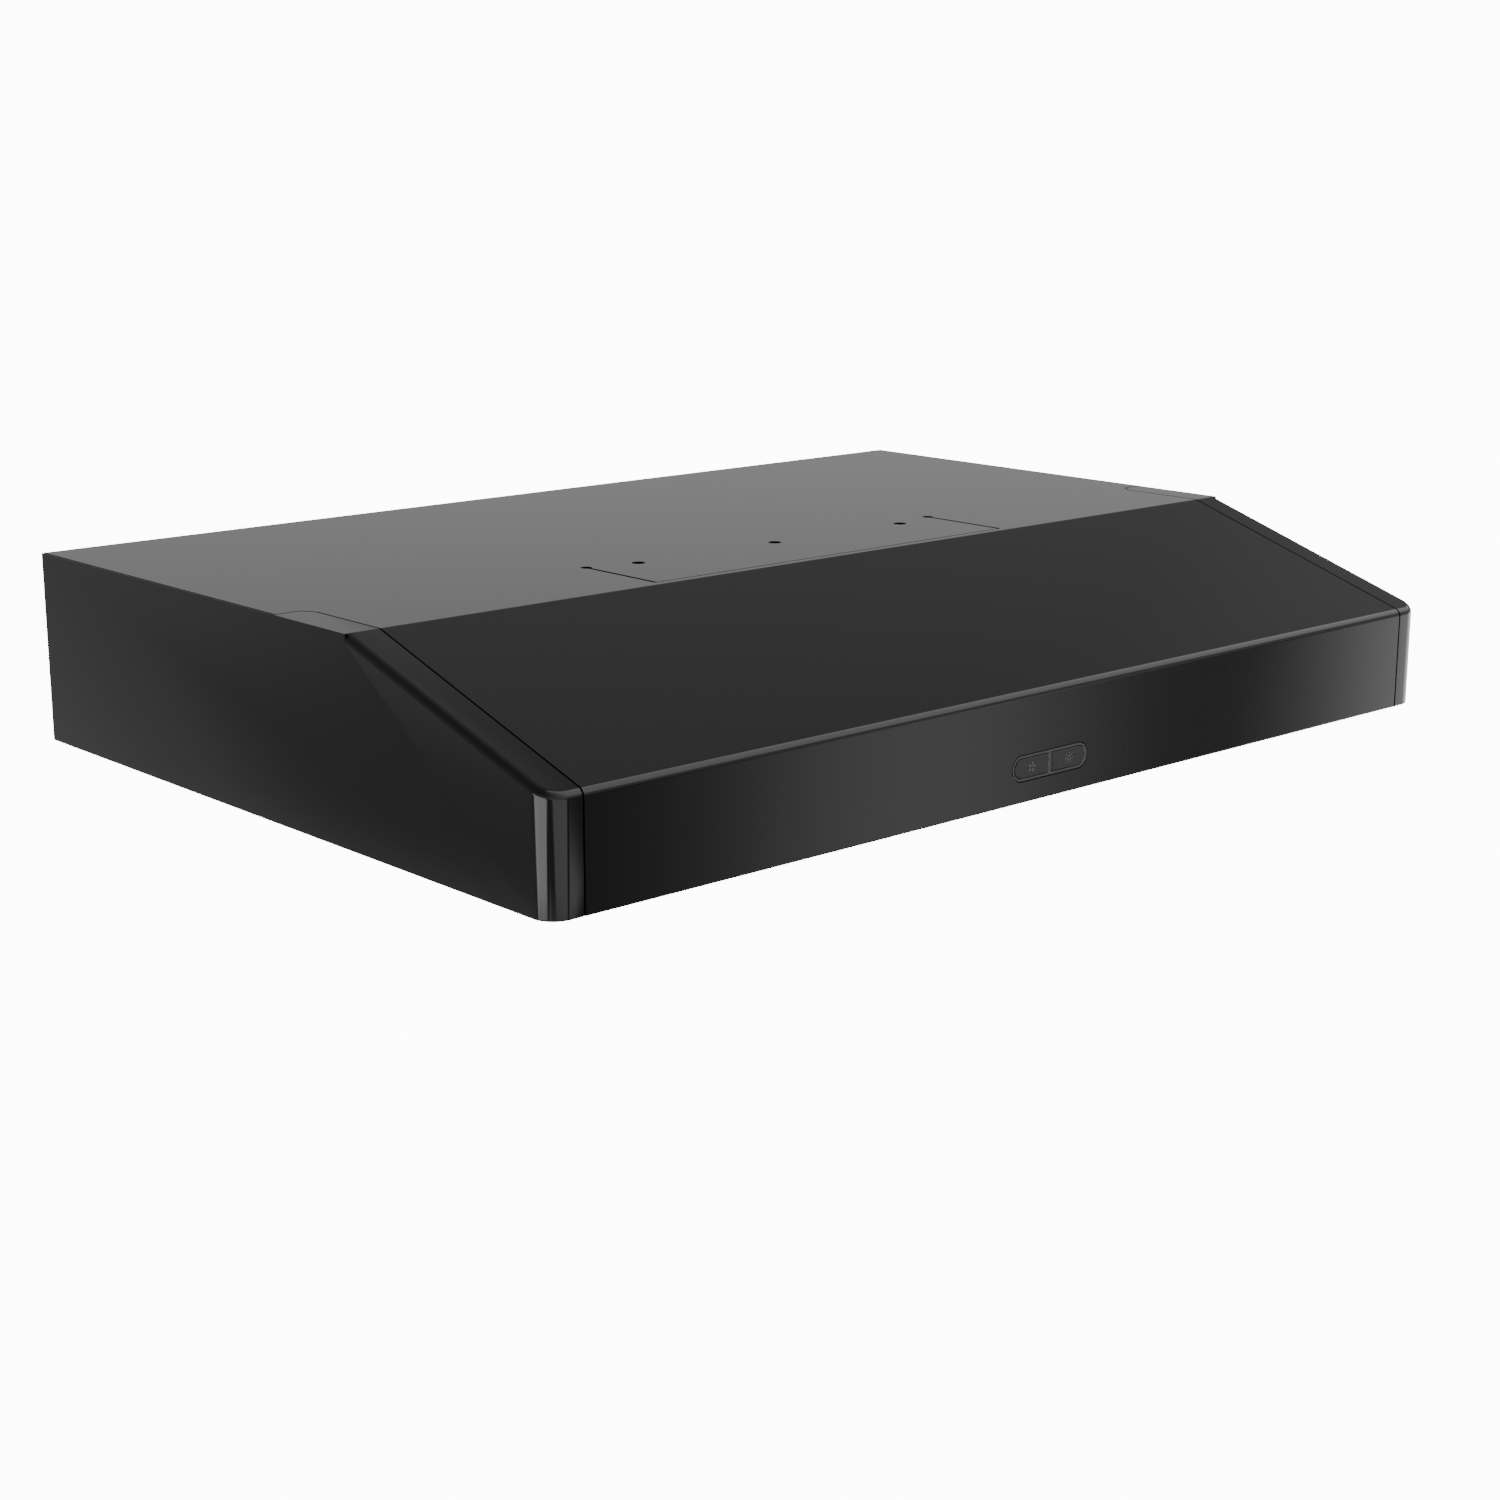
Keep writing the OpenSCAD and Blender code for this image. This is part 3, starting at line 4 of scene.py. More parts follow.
import bpy
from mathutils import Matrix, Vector

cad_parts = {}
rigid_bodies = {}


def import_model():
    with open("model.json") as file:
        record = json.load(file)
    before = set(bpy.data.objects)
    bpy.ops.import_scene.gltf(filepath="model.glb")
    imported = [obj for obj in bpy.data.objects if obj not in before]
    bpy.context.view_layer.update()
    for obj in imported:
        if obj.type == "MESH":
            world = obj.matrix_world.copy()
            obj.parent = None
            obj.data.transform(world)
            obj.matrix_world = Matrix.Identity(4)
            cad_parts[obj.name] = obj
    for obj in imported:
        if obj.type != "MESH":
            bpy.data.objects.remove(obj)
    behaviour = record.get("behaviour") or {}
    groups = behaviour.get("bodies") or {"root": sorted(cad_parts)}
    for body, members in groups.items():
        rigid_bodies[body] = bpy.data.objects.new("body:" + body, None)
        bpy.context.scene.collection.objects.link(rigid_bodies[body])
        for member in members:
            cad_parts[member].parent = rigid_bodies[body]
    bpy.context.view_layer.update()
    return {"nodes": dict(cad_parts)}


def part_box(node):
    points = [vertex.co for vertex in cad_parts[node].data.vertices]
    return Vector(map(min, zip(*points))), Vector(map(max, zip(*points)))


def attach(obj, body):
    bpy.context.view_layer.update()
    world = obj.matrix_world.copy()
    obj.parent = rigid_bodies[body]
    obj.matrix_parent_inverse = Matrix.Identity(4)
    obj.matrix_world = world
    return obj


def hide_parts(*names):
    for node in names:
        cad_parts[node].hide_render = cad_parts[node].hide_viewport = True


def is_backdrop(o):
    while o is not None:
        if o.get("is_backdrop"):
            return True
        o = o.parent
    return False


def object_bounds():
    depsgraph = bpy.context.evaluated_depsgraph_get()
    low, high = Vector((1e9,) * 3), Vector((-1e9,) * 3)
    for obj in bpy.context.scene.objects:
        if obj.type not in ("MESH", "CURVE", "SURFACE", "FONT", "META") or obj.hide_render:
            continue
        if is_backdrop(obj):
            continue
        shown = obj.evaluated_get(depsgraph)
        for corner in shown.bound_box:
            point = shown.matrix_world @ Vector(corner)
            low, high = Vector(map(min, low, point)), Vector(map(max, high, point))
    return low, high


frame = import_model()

mm = 0.001
nodes = frame["nodes"]

# the hood's overall form, shared by every sheet of it
hood = {
    "halfWidth": 379.4 * mm, "depth": 530.8 * mm, "height": 124.4 * mm,
    "topDepth": 351.2 * mm, "frontHeight": 67.6 * mm,
    "sheet": 0.8 * mm, "bend": 5 * mm, "corner": 14 * mm,
    "flange": 22.8 * mm, "seam": 0.9 * mm, "topFlange": 72 * mm, "flangeCorner": 9 * mm,
    "rearInset": 2 * mm, "returnWidth": 12 * mm, "frontReturn": 30 * mm, "footBend": 1.2 * mm,
}
sheet = hood["sheet"]
halfWidth, frontY, bottomZ = hood["halfWidth"], -hood["depth"], -hood["height"]
seamX = halfWidth - hood["flange"]
flangeY = -(hood["topDepth"] - hood["topFlange"])
rearY = -hood["rearInset"]
rearInY = rearY - sheet
slopeAngle = math.atan2(hood["height"] - hood["frontHeight"], hood["depth"] - hood["topDepth"])
slopeNormal = Vector((0, -math.sin(slopeAngle), math.cos(slopeAngle)))


# small tools for modelling

def objectMode():
    if bpy.context.object and bpy.context.object.mode != "OBJECT":
        bpy.ops.object.mode_set(mode="OBJECT")


def clearSelection():
    objectMode()
    bpy.ops.object.select_all(action="DESELECT")


def pick(piece):
    clearSelection()
    piece.select_set(True)
    bpy.context.view_layer.objects.active = piece


def settle(piece, name=None):
    pick(piece)
    bpy.ops.object.transform_apply(location=True, rotation=True, scale=True)
    if name:
        piece.name = name
        piece.data.name = name
    return piece


def block(name, low, high):
    low, high = Vector(low), Vector(high)
    clearSelection()
    bpy.ops.mesh.primitive_cube_add(size=1, location=(low + high) / 2)
    bpy.context.object.scale = high - low
    return settle(bpy.context.object, name)


def rod(name, radius, start, end, sides=48, endRadius=None):
    start, end = Vector(start), Vector(end)
    run = end - start
    clearSelection()
    turn = run.to_track_quat("Z", "Y").to_euler()
    bpy.ops.mesh.primitive_cone_add(vertices=sides, radius1=radius,
                                    radius2=radius if endRadius is None else endRadius,
                                    depth=run.length, location=(start + end) / 2, rotation=turn)
    return settle(bpy.context.object, name)


def chooseFaces(piece, test):
    pick(piece)
    bpy.context.tool_settings.mesh_select_mode = (False, False, True)
    mesh = piece.data
    for part in (mesh.vertices, mesh.edges):
        part.foreach_set("select", [False] * len(part))
    for face in mesh.polygons:
        face.select = test(face.center, face.normal)
    bpy.ops.object.mode_set(mode="EDIT")


def chooseEdges(piece, test):
    pick(piece)
    bpy.context.tool_settings.mesh_select_mode = (False, True, False)
    mesh = piece.data
    sides = {}
    for face in mesh.polygons:
        for key in face.edge_keys:
            sides.setdefault(key, []).append(face.normal.copy())
    for part in (mesh.vertices, mesh.polygons):
        part.foreach_set("select", [False] * len(part))
    for edge in mesh.edges:
        start, end = (mesh.vertices[i].co for i in edge.vertices)
        edge.select = bool(test(start, end, sides.get(tuple(sorted(edge.vertices)), [])))
    bpy.ops.object.mode_set(mode="EDIT")


def roundEdges(piece, test, radius, steps=4):
    chooseEdges(piece, test)
    bpy.ops.mesh.bevel(offset=radius, segments=steps, affect="EDGES", clamp_overlap=True)
    objectMode()
    return piece


def carve(piece, tool, how="DIFFERENCE"):
    change = piece.modifiers.new("carve", "BOOLEAN")
    change.operation, change.object, change.solver = how, tool, "EXACT"
    pick(piece)
    bpy.ops.object.modifier_apply(modifier=change.name)
    bpy.data.objects.remove(tool, do_unlink=True)
    return piece


def merge(parts, name=None):
    clearSelection()
    for part in parts:
        part.select_set(True)
    bpy.context.view_layer.objects.active = parts[0]
    if len(parts) > 1:
        bpy.ops.object.join()
    return settle(parts[0], name)


def copyOf(piece, name, shift=(0, 0, 0), mirrorX=False):
    pick(piece)
    bpy.ops.object.duplicate(linked=False)
    twin = bpy.context.object
    twin.location = Vector(shift)
    if mirrorX:
        twin.scale.x = -1
    settle(twin, name)
    if mirrorX:
        bpy.ops.object.mode_set(mode="EDIT")
        bpy.ops.mesh.select_all(action="SELECT")
        bpy.ops.mesh.normals_make_consistent(inside=False)
        objectMode()
    return twin


def lathe(name, outline, centre, sides=64):
    # outline is a list of (radius, height); a radius of 0 closes the form on its axis
    centre = Vector(centre)
    point = 1e-6
    clearSelection()
    radius, height = outline[0]
    bpy.ops.mesh.primitive_circle_add(vertices=sides, radius=max(radius, point),
                                      location=centre + Vector((0, 0, height)))
    piece = settle(bpy.context.object, name)
    bpy.context.tool_settings.mesh_select_mode = (False, True, False)
    bpy.ops.object.mode_set(mode="EDIT")
    bpy.ops.mesh.select_all(action="SELECT")
    for (r0, z0), (r1, z1) in zip(outline, outline[1:]):
        bpy.ops.mesh.extrude_region_move(TRANSFORM_OT_translate={"value": (0, 0, z1 - z0)})
        grow = max(r1, point) / max(r0, point)
        bpy.ops.transform.resize(value=(grow, grow, 1), center_override=centre + Vector((0, 0, z1)))
    bpy.ops.mesh.select_all(action="SELECT")
    bpy.ops.mesh.remove_doubles(threshold=3e-6)
    bpy.ops.mesh.normals_make_consistent(inside=False)
    objectMode()
    return piece


def shape(piece, kind, **settings):
    change = piece.modifiers.new(kind.lower(), kind)
    for key, value in settings.items():
        setattr(change, key, value)
    pick(piece)
    bpy.ops.object.modifier_apply(modifier=change.name)
    return piece


def smooth(piece, angle=32):
    pick(piece)
    bpy.ops.object.shade_smooth_by_angle(angle=math.radians(angle))
    return shape(piece, "WEIGHTED_NORMAL", keep_sharp=True, weight=80)


def place(piece, body, slot, material, *cadNodes):
    settle(piece)
    piece.data.materials.clear()
    piece.data.materials.append(material)
    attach(piece, body)
    if cadNodes:
        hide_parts(*cadNodes)
    return piece


def shade(piece, material, test):
    # gives some faces of a placed piece a second material
    piece.data.materials.append(material)
    piece.active_material_index = len(piece.data.materials) - 1
    chooseFaces(piece, test)
    bpy.ops.object.material_slot_assign()
    objectMode()


# materials

class Wire:
    # wraps a shader socket, so that arithmetic on it adds Math nodes
    def __init__(self, tree, socket):
        self.tree, self.socket = tree, socket

    def add(self, kind, settings=None, inputs=None, out=0):
        node = self.tree.nodes.new(kind)
        for key, value in (settings or {}).items():
            if key == "stops":
                ramp = node.color_ramp
                while len(ramp.elements) < len(value):
                    ramp.elements.new(0.5)
                for stop, (place, tone) in zip(ramp.elements, value):
                    stop.position = place
                    stop.color = (*tone, 1) if len(tone) == 3 else tone
            else:
                setattr(node, key, value)
        for key, value in (inputs or {}).items():
            target = node.inputs[key]
            if isinstance(value, Wire):
                self.tree.links.new(value.socket, target)
            else:
                target.default_value = value
        return Wire(self.tree, node.outputs[out])

    def maths(self, operation, first, second=0.0):
        return self.add("ShaderNodeMath", {"operation": operation}, {0: first, 1: second})

    def __add__(self, other):
        return self.maths("ADD", self, other)

    def __radd__(self, other):
        return self.maths("ADD", other, self)

    def __sub__(self, other):
        return self.maths("SUBTRACT", self, other)

    def __rsub__(self, other):
        return self.maths("SUBTRACT", other, self)

    def __mul__(self, other):
        return self.maths("MULTIPLY", self, other)

    def __rmul__(self, other):
        return self.maths("MULTIPLY", other, self)

    def __truediv__(self, other):
        return self.maths("DIVIDE", self, other)

    def between(self, low, high, start=0.0, end=1.0):
        return self.add("ShaderNodeMapRange", {"interpolation_type": "SMOOTHSTEP"},
                        {"Value": self, "From Min": low, "From Max": high, "To Min": start, "To Max": end})

    def noise(self, scale, detail=3.0, roughness=0.5, stretch=(1, 1, 1)):
        where = self.add("ShaderNodeMapping", {}, {"Vector": self, "Scale": stretch})
        return self.add("ShaderNodeTexNoise", {}, {"Vector": where, "Scale": scale, "Detail": detail,
                                                   "Roughness": roughness})

    def tint(self, dark, light):
        return self.add("ShaderNodeMix", {"data_type": "RGBA"},
                        {"Factor": self, 6: (*dark, 1), 7: (*light, 1)}, out=2)


def newMaterial(name, **fixed):
    material = bpy.data.materials.new(name)
    material.use_nodes = True
    tree = material.node_tree
    shader = tree.nodes["Principled BSDF"]
    for key, value in fixed.items():
        socket = shader.inputs[key.replace("_", " ")]
        socket.default_value = (*value, 1) if isinstance(value, tuple) and len(value) == 3 else value
    where = tree.nodes.new("ShaderNodeTexCoord")
    return material, shader, Wire(tree, where.outputs["Object"])


def feed(where, shader, **links):
    for key, value in links.items():
        where.tree.links.new(value.socket, shader.inputs[key.replace("_", " ")])


def bumped(where, height, strength, distance):
    return where.add("ShaderNodeBump", {}, {"Height": height, "Strength": strength, "Distance": distance})


paintLook = {"tone": (0.0032, 0.0031, 0.0032), "gloss": 0.105, "glossSpread": 0.03,
             "peelScale": 420, "peelDepth": 0.0000025, "sagScale": 5, "sagDepth": 0.00012}


def paintMaterial(name, look):
    material, shader, where = newMaterial(name, IOR=1.5)
    cloud = where.noise(9, 4, 0.55)
    speck = where.noise(900, 2, 0.5)
    peel = where.noise(look["peelScale"], 2, 0.45)
    sag = where.noise(look["sagScale"], 1, 0.4)
    tone = look["tone"]
    paler = tuple(value * 1.35 for value in tone)
    feed(where, shader,
         Base_Color=(cloud * 0.6 + speck * 0.4).tint(tone, paler),
         Roughness=look["gloss"] + (cloud * 0.7 + speck * 0.3 - 0.5) * look["glossSpread"],
         Normal=bumped(where, peel * look["peelDepth"] + sag * look["sagDepth"], 1.0, 1.0))
    return material


def galvanisedMaterial(name, tone, roughness):
    material, shader, where = newMaterial(name, Metallic=1.0)
    spangle = where.add("ShaderNodeTexVoronoi", {}, {"Vector": where, "Scale": 130.0}, out=1)
    grain = where.add("ShaderNodeSeparateColor", {}, {"Color": spangle})
    fine = where.noise(700, 3, 0.6)
    cloud = where.noise(14, 3, 0.5)
    blend = grain * 0.5 + cloud * 0.3 + fine * 0.2
    feed(where, shader,
         Base_Color=blend.tint(tuple(v * 0.78 for v in tone), tone),
         Roughness=roughness + grain * 0.16 + cloud * 0.1 - 0.1,
         Normal=bumped(where, fine, 0.15, 0.00003))
    return material


def brushedMaterial(name, tone, roughness, stretch=(1, 40, 40), scale=60):
    material, shader, where = newMaterial(name, Metallic=1.0)
    stroke = where.noise(scale, 4, 0.6, stretch)
    cloud = where.noise(20, 3, 0.5)
    feed(where, shader,
         Base_Color=(stroke * 0.6 + cloud * 0.4).tint(tuple(v * 0.8 for v in tone), tone),
         Roughness=roughness + (stroke - 0.5) * 0.2 + (cloud - 0.5) * 0.1,
         Normal=bumped(where, stroke, 0.2, 0.00002))
    return material


def mouldedMaterial(name, tone, roughness, grainScale=1200, grainDepth=0.00001, spread=0.12, shade=0.82):
    material, shader, where = newMaterial(name, IOR=1.46)
    grain = where.noise(grainScale, 2, 0.5)
    cloud = where.noise(24, 3, 0.5)
    feed(where, shader,
         Base_Color=(cloud * 0.7 + grain * 0.3).tint(tuple(v * shade for v in tone), tone),
         Roughness=roughness + (cloud - 0.5) * spread + (grain - 0.5) * spread * 0.5,
         Normal=bumped(where, grain, 1.0, grainDepth))
    return material


paint = paintMaterial("semiGlossBlackPaint", paintLook)
# black paint of the inner sheets; it is also laid on the scroll top plate as painted shade
innerPaintAndHoleShade = paintMaterial("innerBlackPaintAndHoleShade", {**paintLook, "gloss": 0.3, "tone": (0.013, 0.013, 0.0135)})
galvanised = galvanisedMaterial("galvanisedSheet", (0.62, 0.63, 0.64), 0.38)
zincPlate = brushedMaterial("zincPlate", (0.66, 0.67, 0.68), 0.28, (1, 1, 1), 300)
blackScrew = paintMaterial("blackenedScrew", {**paintLook, "gloss": 0.34, "tone": (0.02, 0.02, 0.02)})
pressedSteel = brushedMaterial("pressedSteel", (0.46, 0.46, 0.47), 0.42, (1, 1, 6), 90)
laminated = brushedMaterial("laminatedCore", (0.35, 0.33, 0.31), 0.5, (1, 1, 60), 40)
bronze = brushedMaterial("oiledBronze", (0.5, 0.35, 0.17), 0.4, (1, 1, 1), 260)
filterAluminium = brushedMaterial("satinAluminium", (0.78, 0.79, 0.8), 0.32, (1, 30, 30), 50)
meshAluminium = brushedMaterial("expandedFoil", (0.7, 0.71, 0.72), 0.36, (1, 1, 1), 220)
bezelPlastic = mouldedMaterial("bezelGloss", (0.046, 0.045, 0.046), 0.26, 1500, 0.000003, 0.06)
buttonPlastic = mouldedMaterial("buttonGloss", (0.0125, 0.0125, 0.013), 0.2, 1500, 0.000003, 0.06)
iconPrint = mouldedMaterial("iconPrint", (0.1, 0.1, 0.102), 0.5, 900, 0.000002, 0.1)
housingPlastic = mouldedMaterial("housingMoulding", (0.022, 0.022, 0.023), 0.45)
wheelPlastic = mouldedMaterial("wheelMoulding", (0.028, 0.028, 0.03), 0.42)
whitePlastic = mouldedMaterial("whiteMoulding", (0.8, 0.8, 0.79), 0.42, 900, 0.00001, 0.1, 0.94)
creamPlastic = mouldedMaterial("terminalMoulding", (0.8, 0.76, 0.64), 0.45, 900, 0.00001, 0.1, 0.9)
greyCase = mouldedMaterial("capacitorCase", (0.6, 0.6, 0.62), 0.38, 800, 0.00001, 0.1, 0.9)
greenBoard = mouldedMaterial("greenBoard", (0.025, 0.12, 0.05), 0.36, 260, 0.00002, 0.12, 0.6)
whiteBoard = mouldedMaterial("whiteBoard", (0.82, 0.82, 0.78), 0.35, 260, 0.00001, 0.1, 0.9)
switchPlastic = mouldedMaterial("switchMoulding", (0.24, 0.24, 0.25), 0.42)
rubber = mouldedMaterial("mattRubber", (0.022, 0.022, 0.022), 0.72, 500, 0.00003, 0.16, 0.75)
leadJacket = mouldedMaterial("leadJacket", (0.74, 0.74, 0.72), 0.45, 400, 0.00002, 0.12, 0.9)
darkJacket = mouldedMaterial("darkJacket", (0.03, 0.03, 0.03), 0.45, 400, 0.00002, 0.12, 0.8)


def shadowMaterial():
    material, shader, where = newMaterial("seamShadow", IOR=1.12, Roughness=0.8)
    grain = where.noise(300, 2, 0.5)
    feed(where, shader, Base_Color=grain.tint((0.001, 0.001, 0.001), (0.003, 0.003, 0.003)))
    return material


seamShadow = shadowMaterial()


def lensMaterial():
    material, shader, where = newMaterial("frostedLens", IOR=1.45)
    frost = where.noise(1400, 2, 0.5)
    cloud = where.noise(40, 2, 0.5)
    feed(where, shader,
         Base_Color=cloud.tint((0.8, 0.8, 0.77), (0.88, 0.88, 0.86)),
         Roughness=0.3 + frost * 0.18,
         Normal=bumped(where, frost, 1.0, 0.000012))
    return material


frosted = lensMaterial()
print("materials made")


# sheets of the hood, cut from one outer form
def rollRim(piece, test, radius, steps):
    # an edge's weight makes its bevel as wide as a ball of this radius rolled along it would
    chooseEdges(piece, test)
    objectMode()
    mesh = piece.data
    sides = {}
    for face in mesh.polygons:
        for key in face.edge_keys:
            sides.setdefault(key, []).append(face.normal)
    weights = mesh.attributes.new("bevel_weight_edge", "FLOAT", "EDGE")
    for edge in mesh.edges:
        if edge.select:
            first, second = sides[tuple(sorted(edge.vertices))]
            weights.data[edge.index].value = min(1, math.tan(first.angle(second) / 2))
    shape(piece, "BEVEL", width=radius, segments=steps, limit_method="WEIGHT", use_clamp_overlap=True)
    piece.data.attributes.remove(piece.data.attributes["bevel_weight_edge"])


def loaf(name, inset, lowZ, backY):
    side = halfWidth - inset
    piece = block(name, (-side, frontY + inset, lowZ), (side, backY, -inset))
    foot = Vector((0, -hood["topDepth"], 0)) - slopeNormal * inset
    bisectAt(piece, foot, slopeNormal)
    corner = max(hood["corner"] - inset, 0.001)
    roundEdges(piece, lambda a, b, sides: abs(a.z - b.z) > 0.02 and max(a.y, b.y) < frontY + 0.01, corner, 16)

    def onRim(a, b, sides):
        if len(sides) != 2 or (a.y > backY - 1e-5 and b.y > backY - 1e-5):
            return False
        up = sorted(side.z for side in sides)
        return up[1] > 0.5 and abs(up[0]) < 0.3
    rollRim(piece, onRim, max(hood["bend"] - inset, 0.0005), 8)
    if not inset:
        roundEdges(piece, lambda a, b, sides: a.z < lowZ + 1e-6 and b.z < lowZ + 1e-6
                   and min(a.y, b.y) < backY - 1e-5, hood["footBend"], 4)
    crease = Vector((0, math.sin(slopeAngle), 1 - math.cos(slopeAngle))).normalized()
    roundEdges(piece, lambda a, b, sides: max(abs((a - foot).dot(crease)), abs((b - foot).dot(crease))) < 2e-5,
               0.0008, 3)
    return piece


def bisectAt(piece, place, normal):
    # keeps what lies behind the plane, and closes the cut
    chooseFaces(piece, lambda centre, facing: True)
    bpy.ops.mesh.bisect(plane_co=place, plane_no=normal, use_fill=True, clear_outer=True)
    objectMode()
    return piece


def prism(name, corners, low, high):
    # upright prism over a triangle: a three-sided cone, moved to its corners
    clearSelection()
    bpy.ops.mesh.primitive_cylinder_add(vertices=3, radius=1, depth=2)
    piece = bpy.context.object
    ring = sorted({round(math.atan2(v.co.y, v.co.x), 3) for v in piece.data.vertices})
    for vertex in piece.data.vertices:
        x, y = corners[ring.index(round(math.atan2(vertex.co.y, vertex.co.x), 3))]
        vertex.co = (x, y, high if vertex.co.z > 0 else low)
    chooseFaces(piece, lambda centre, facing: True)
    bpy.ops.mesh.normals_make_consistent(inside=False)
    objectMode()
    return settle(piece, name)


def tidyFlats(piece, degrees=0.4):
    chooseFaces(piece, lambda centre, facing: True)
    bpy.ops.mesh.remove_doubles(threshold=2e-6)
    bpy.ops.mesh.dissolve_limited(angle_limit=math.radians(degrees))
    objectMode()
    return piece


def softEdges(piece, width, angle=50, steps=2):
    return shape(piece, "BEVEL", width=width, segments=steps, limit_method="ANGLE",
                 angle_limit=math.radians(angle), use_clamp_overlap=False, miter_outer="MITER_ARC")


def pillBlock(name, width, height, frontEdge, backEdge, centreZ, steps=14):
    piece = block(name, (-width / 2, frontEdge, centreZ - height / 2),
                  (width / 2, backEdge, centreZ + height / 2))
    return roundEdges(piece, lambda a, b, sides: abs(a.y - b.y) > abs(frontEdge - backEdge) * 0.9,
                      height / 2 - 0.00002, steps)


panelMade = {"edge": 0.22 * mm, "lap": 12 * mm, "lapGap": 0.25 * mm, "squareEdge": 6 * mm}


def hollowLoaf(name, inset, thick):
    lowZ = bottomZ + (3 * mm if inset else 0)
    return carve(loaf(name, inset, lowZ, 0), loaf("inner", inset + thick, bottomZ - 0.02, 0.02))


def rightPanel():
    panel = hollowLoaf("panelRight", 0, sheet)
    bisectAt(panel, (seamX, 0, 0), (-1, 0, 0))
    # behind the wrapped flange the side stands alone, square at its top
    carve(panel, block("cut", (seamX - mm, flangeY, -hood["bend"] - 1.4 * mm),
                       (halfWidth - sheet - 0.01 * mm, 0.01, mm)))
    chamfer = hood["flangeCorner"] + 2 * mm
    carve(panel, prism("cut", [(seamX - mm, flangeY + mm), (seamX - mm + chamfer * 0.65, flangeY + mm),
                               (seamX - mm, flangeY + mm - chamfer)], -5 * mm, mm))
    carve(panel, block("edge", (halfWidth - sheet, -hood["topDepth"], -hood["bend"] - panelMade["squareEdge"]),
                       (halfWidth, 0, 0)), "UNION")
    carve(panel, block("corner", (halfWidth - hood["bend"] - mm, -hood["topDepth"], -sheet),
                       (halfWidth, flangeY, 0)), "UNION")
    clip = loaf("clip", 0, bottomZ, 0)
    returnEdge = frontY + hood["frontReturn"]
    foot = carve(block("foot", (halfWidth - hood["returnWidth"], returnEdge - mm, bottomZ),
                       (halfWidth, rearInY, bottomZ + sheet)),
                 block("front", (seamX, frontY, bottomZ), (halfWidth, returnEdge, bottomZ + sheet)), "UNION")
    foot = carve(foot, clip, "INTERSECT")
    carve(panel, foot, "UNION")
    tidyFlats(panel)
    for x, y in sidePanScrews:
        carve(panel, rod("hole", 1.8 * mm, (x, y, bottomZ - mm), (x, y, bottomZ + 2 * mm), 20))
    softEdges(panel, panelMade["edge"])
    for vertex in panel.data.vertices:  # a mitre may stand a hair proud of the side or top
        vertex.co.x, vertex.co.z = min(vertex.co.x, halfWidth), min(vertex.co.z, 0)
    lap = hollowLoaf("lap", sheet + panelMade["lapGap"], sheet * 0.7)
    bisectAt(lap, (seamX - panelMade["lap"], 0, 0), (-1, 0, 0))
    bisectAt(lap, (seamX + 3 * mm, 0, 0), (1, 0, 0))
    carve(lap, block("cut", (0, flangeY - hood["flangeCorner"] - 2 * mm, -0.2), (0.5, 0.1, 0.01)))
    back = block("back", (halfWidth - 18 * mm, rearInY - sheet, bottomZ + 0.1 * mm),
                 (halfWidth - 0.3 * mm, rearInY, -10 * mm))
    for z in rearScrewZ:
        carve(back, rod("hole", 2 * mm, (rearScrewX, rearInY - 2 * mm, z),
                        (rearScrewX, rearInY + mm, z), 20))
    return merge([panel, lap, back], "panelRight")


sidePanScrews = [(halfWidth - 8.5 * mm, y * mm) for y in (-60, -250.4, -460.8)]
frontPanScrews = [(f * seamX, -504.3 * mm) for f in (-0.8, -0.3, 0.3, 0.8)]
rearScrewX = halfWidth - 9 * mm
rearScrewZ = [bottomZ + hood["height"] * f for f in (0.18, 0.5, 0.82)]

right = rightPanel()
smooth(right, 14)
left = copyOf(right, "panelLeft", mirrorX=True)
place(right, "hood", "black_paint", paint, "right_end_panel")
place(left, "hood", "black_paint", paint, "left_end_panel")
for panel in (right, left):
    shade(panel, seamShadow, lambda centre, facing: abs(centre.x) < seamX + 0.25 * mm)
print("end panels made")

shellMade = {"tongueWidth": 304 * mm, "tongueLength": 68 * mm, "tongueEdge": 6 * mm, "slit": 2.2 * mm,
             "relief": 3.4 * mm, "holeRadius": 4.2 * mm, "holeStep": 116.5 * mm, "holeBack": 66 * mm,
             "pillWidth": 66.5 * mm, "pillHeight": 15.5 * mm, "edge": 0.22 * mm}
controlZ = -102.9 * mm


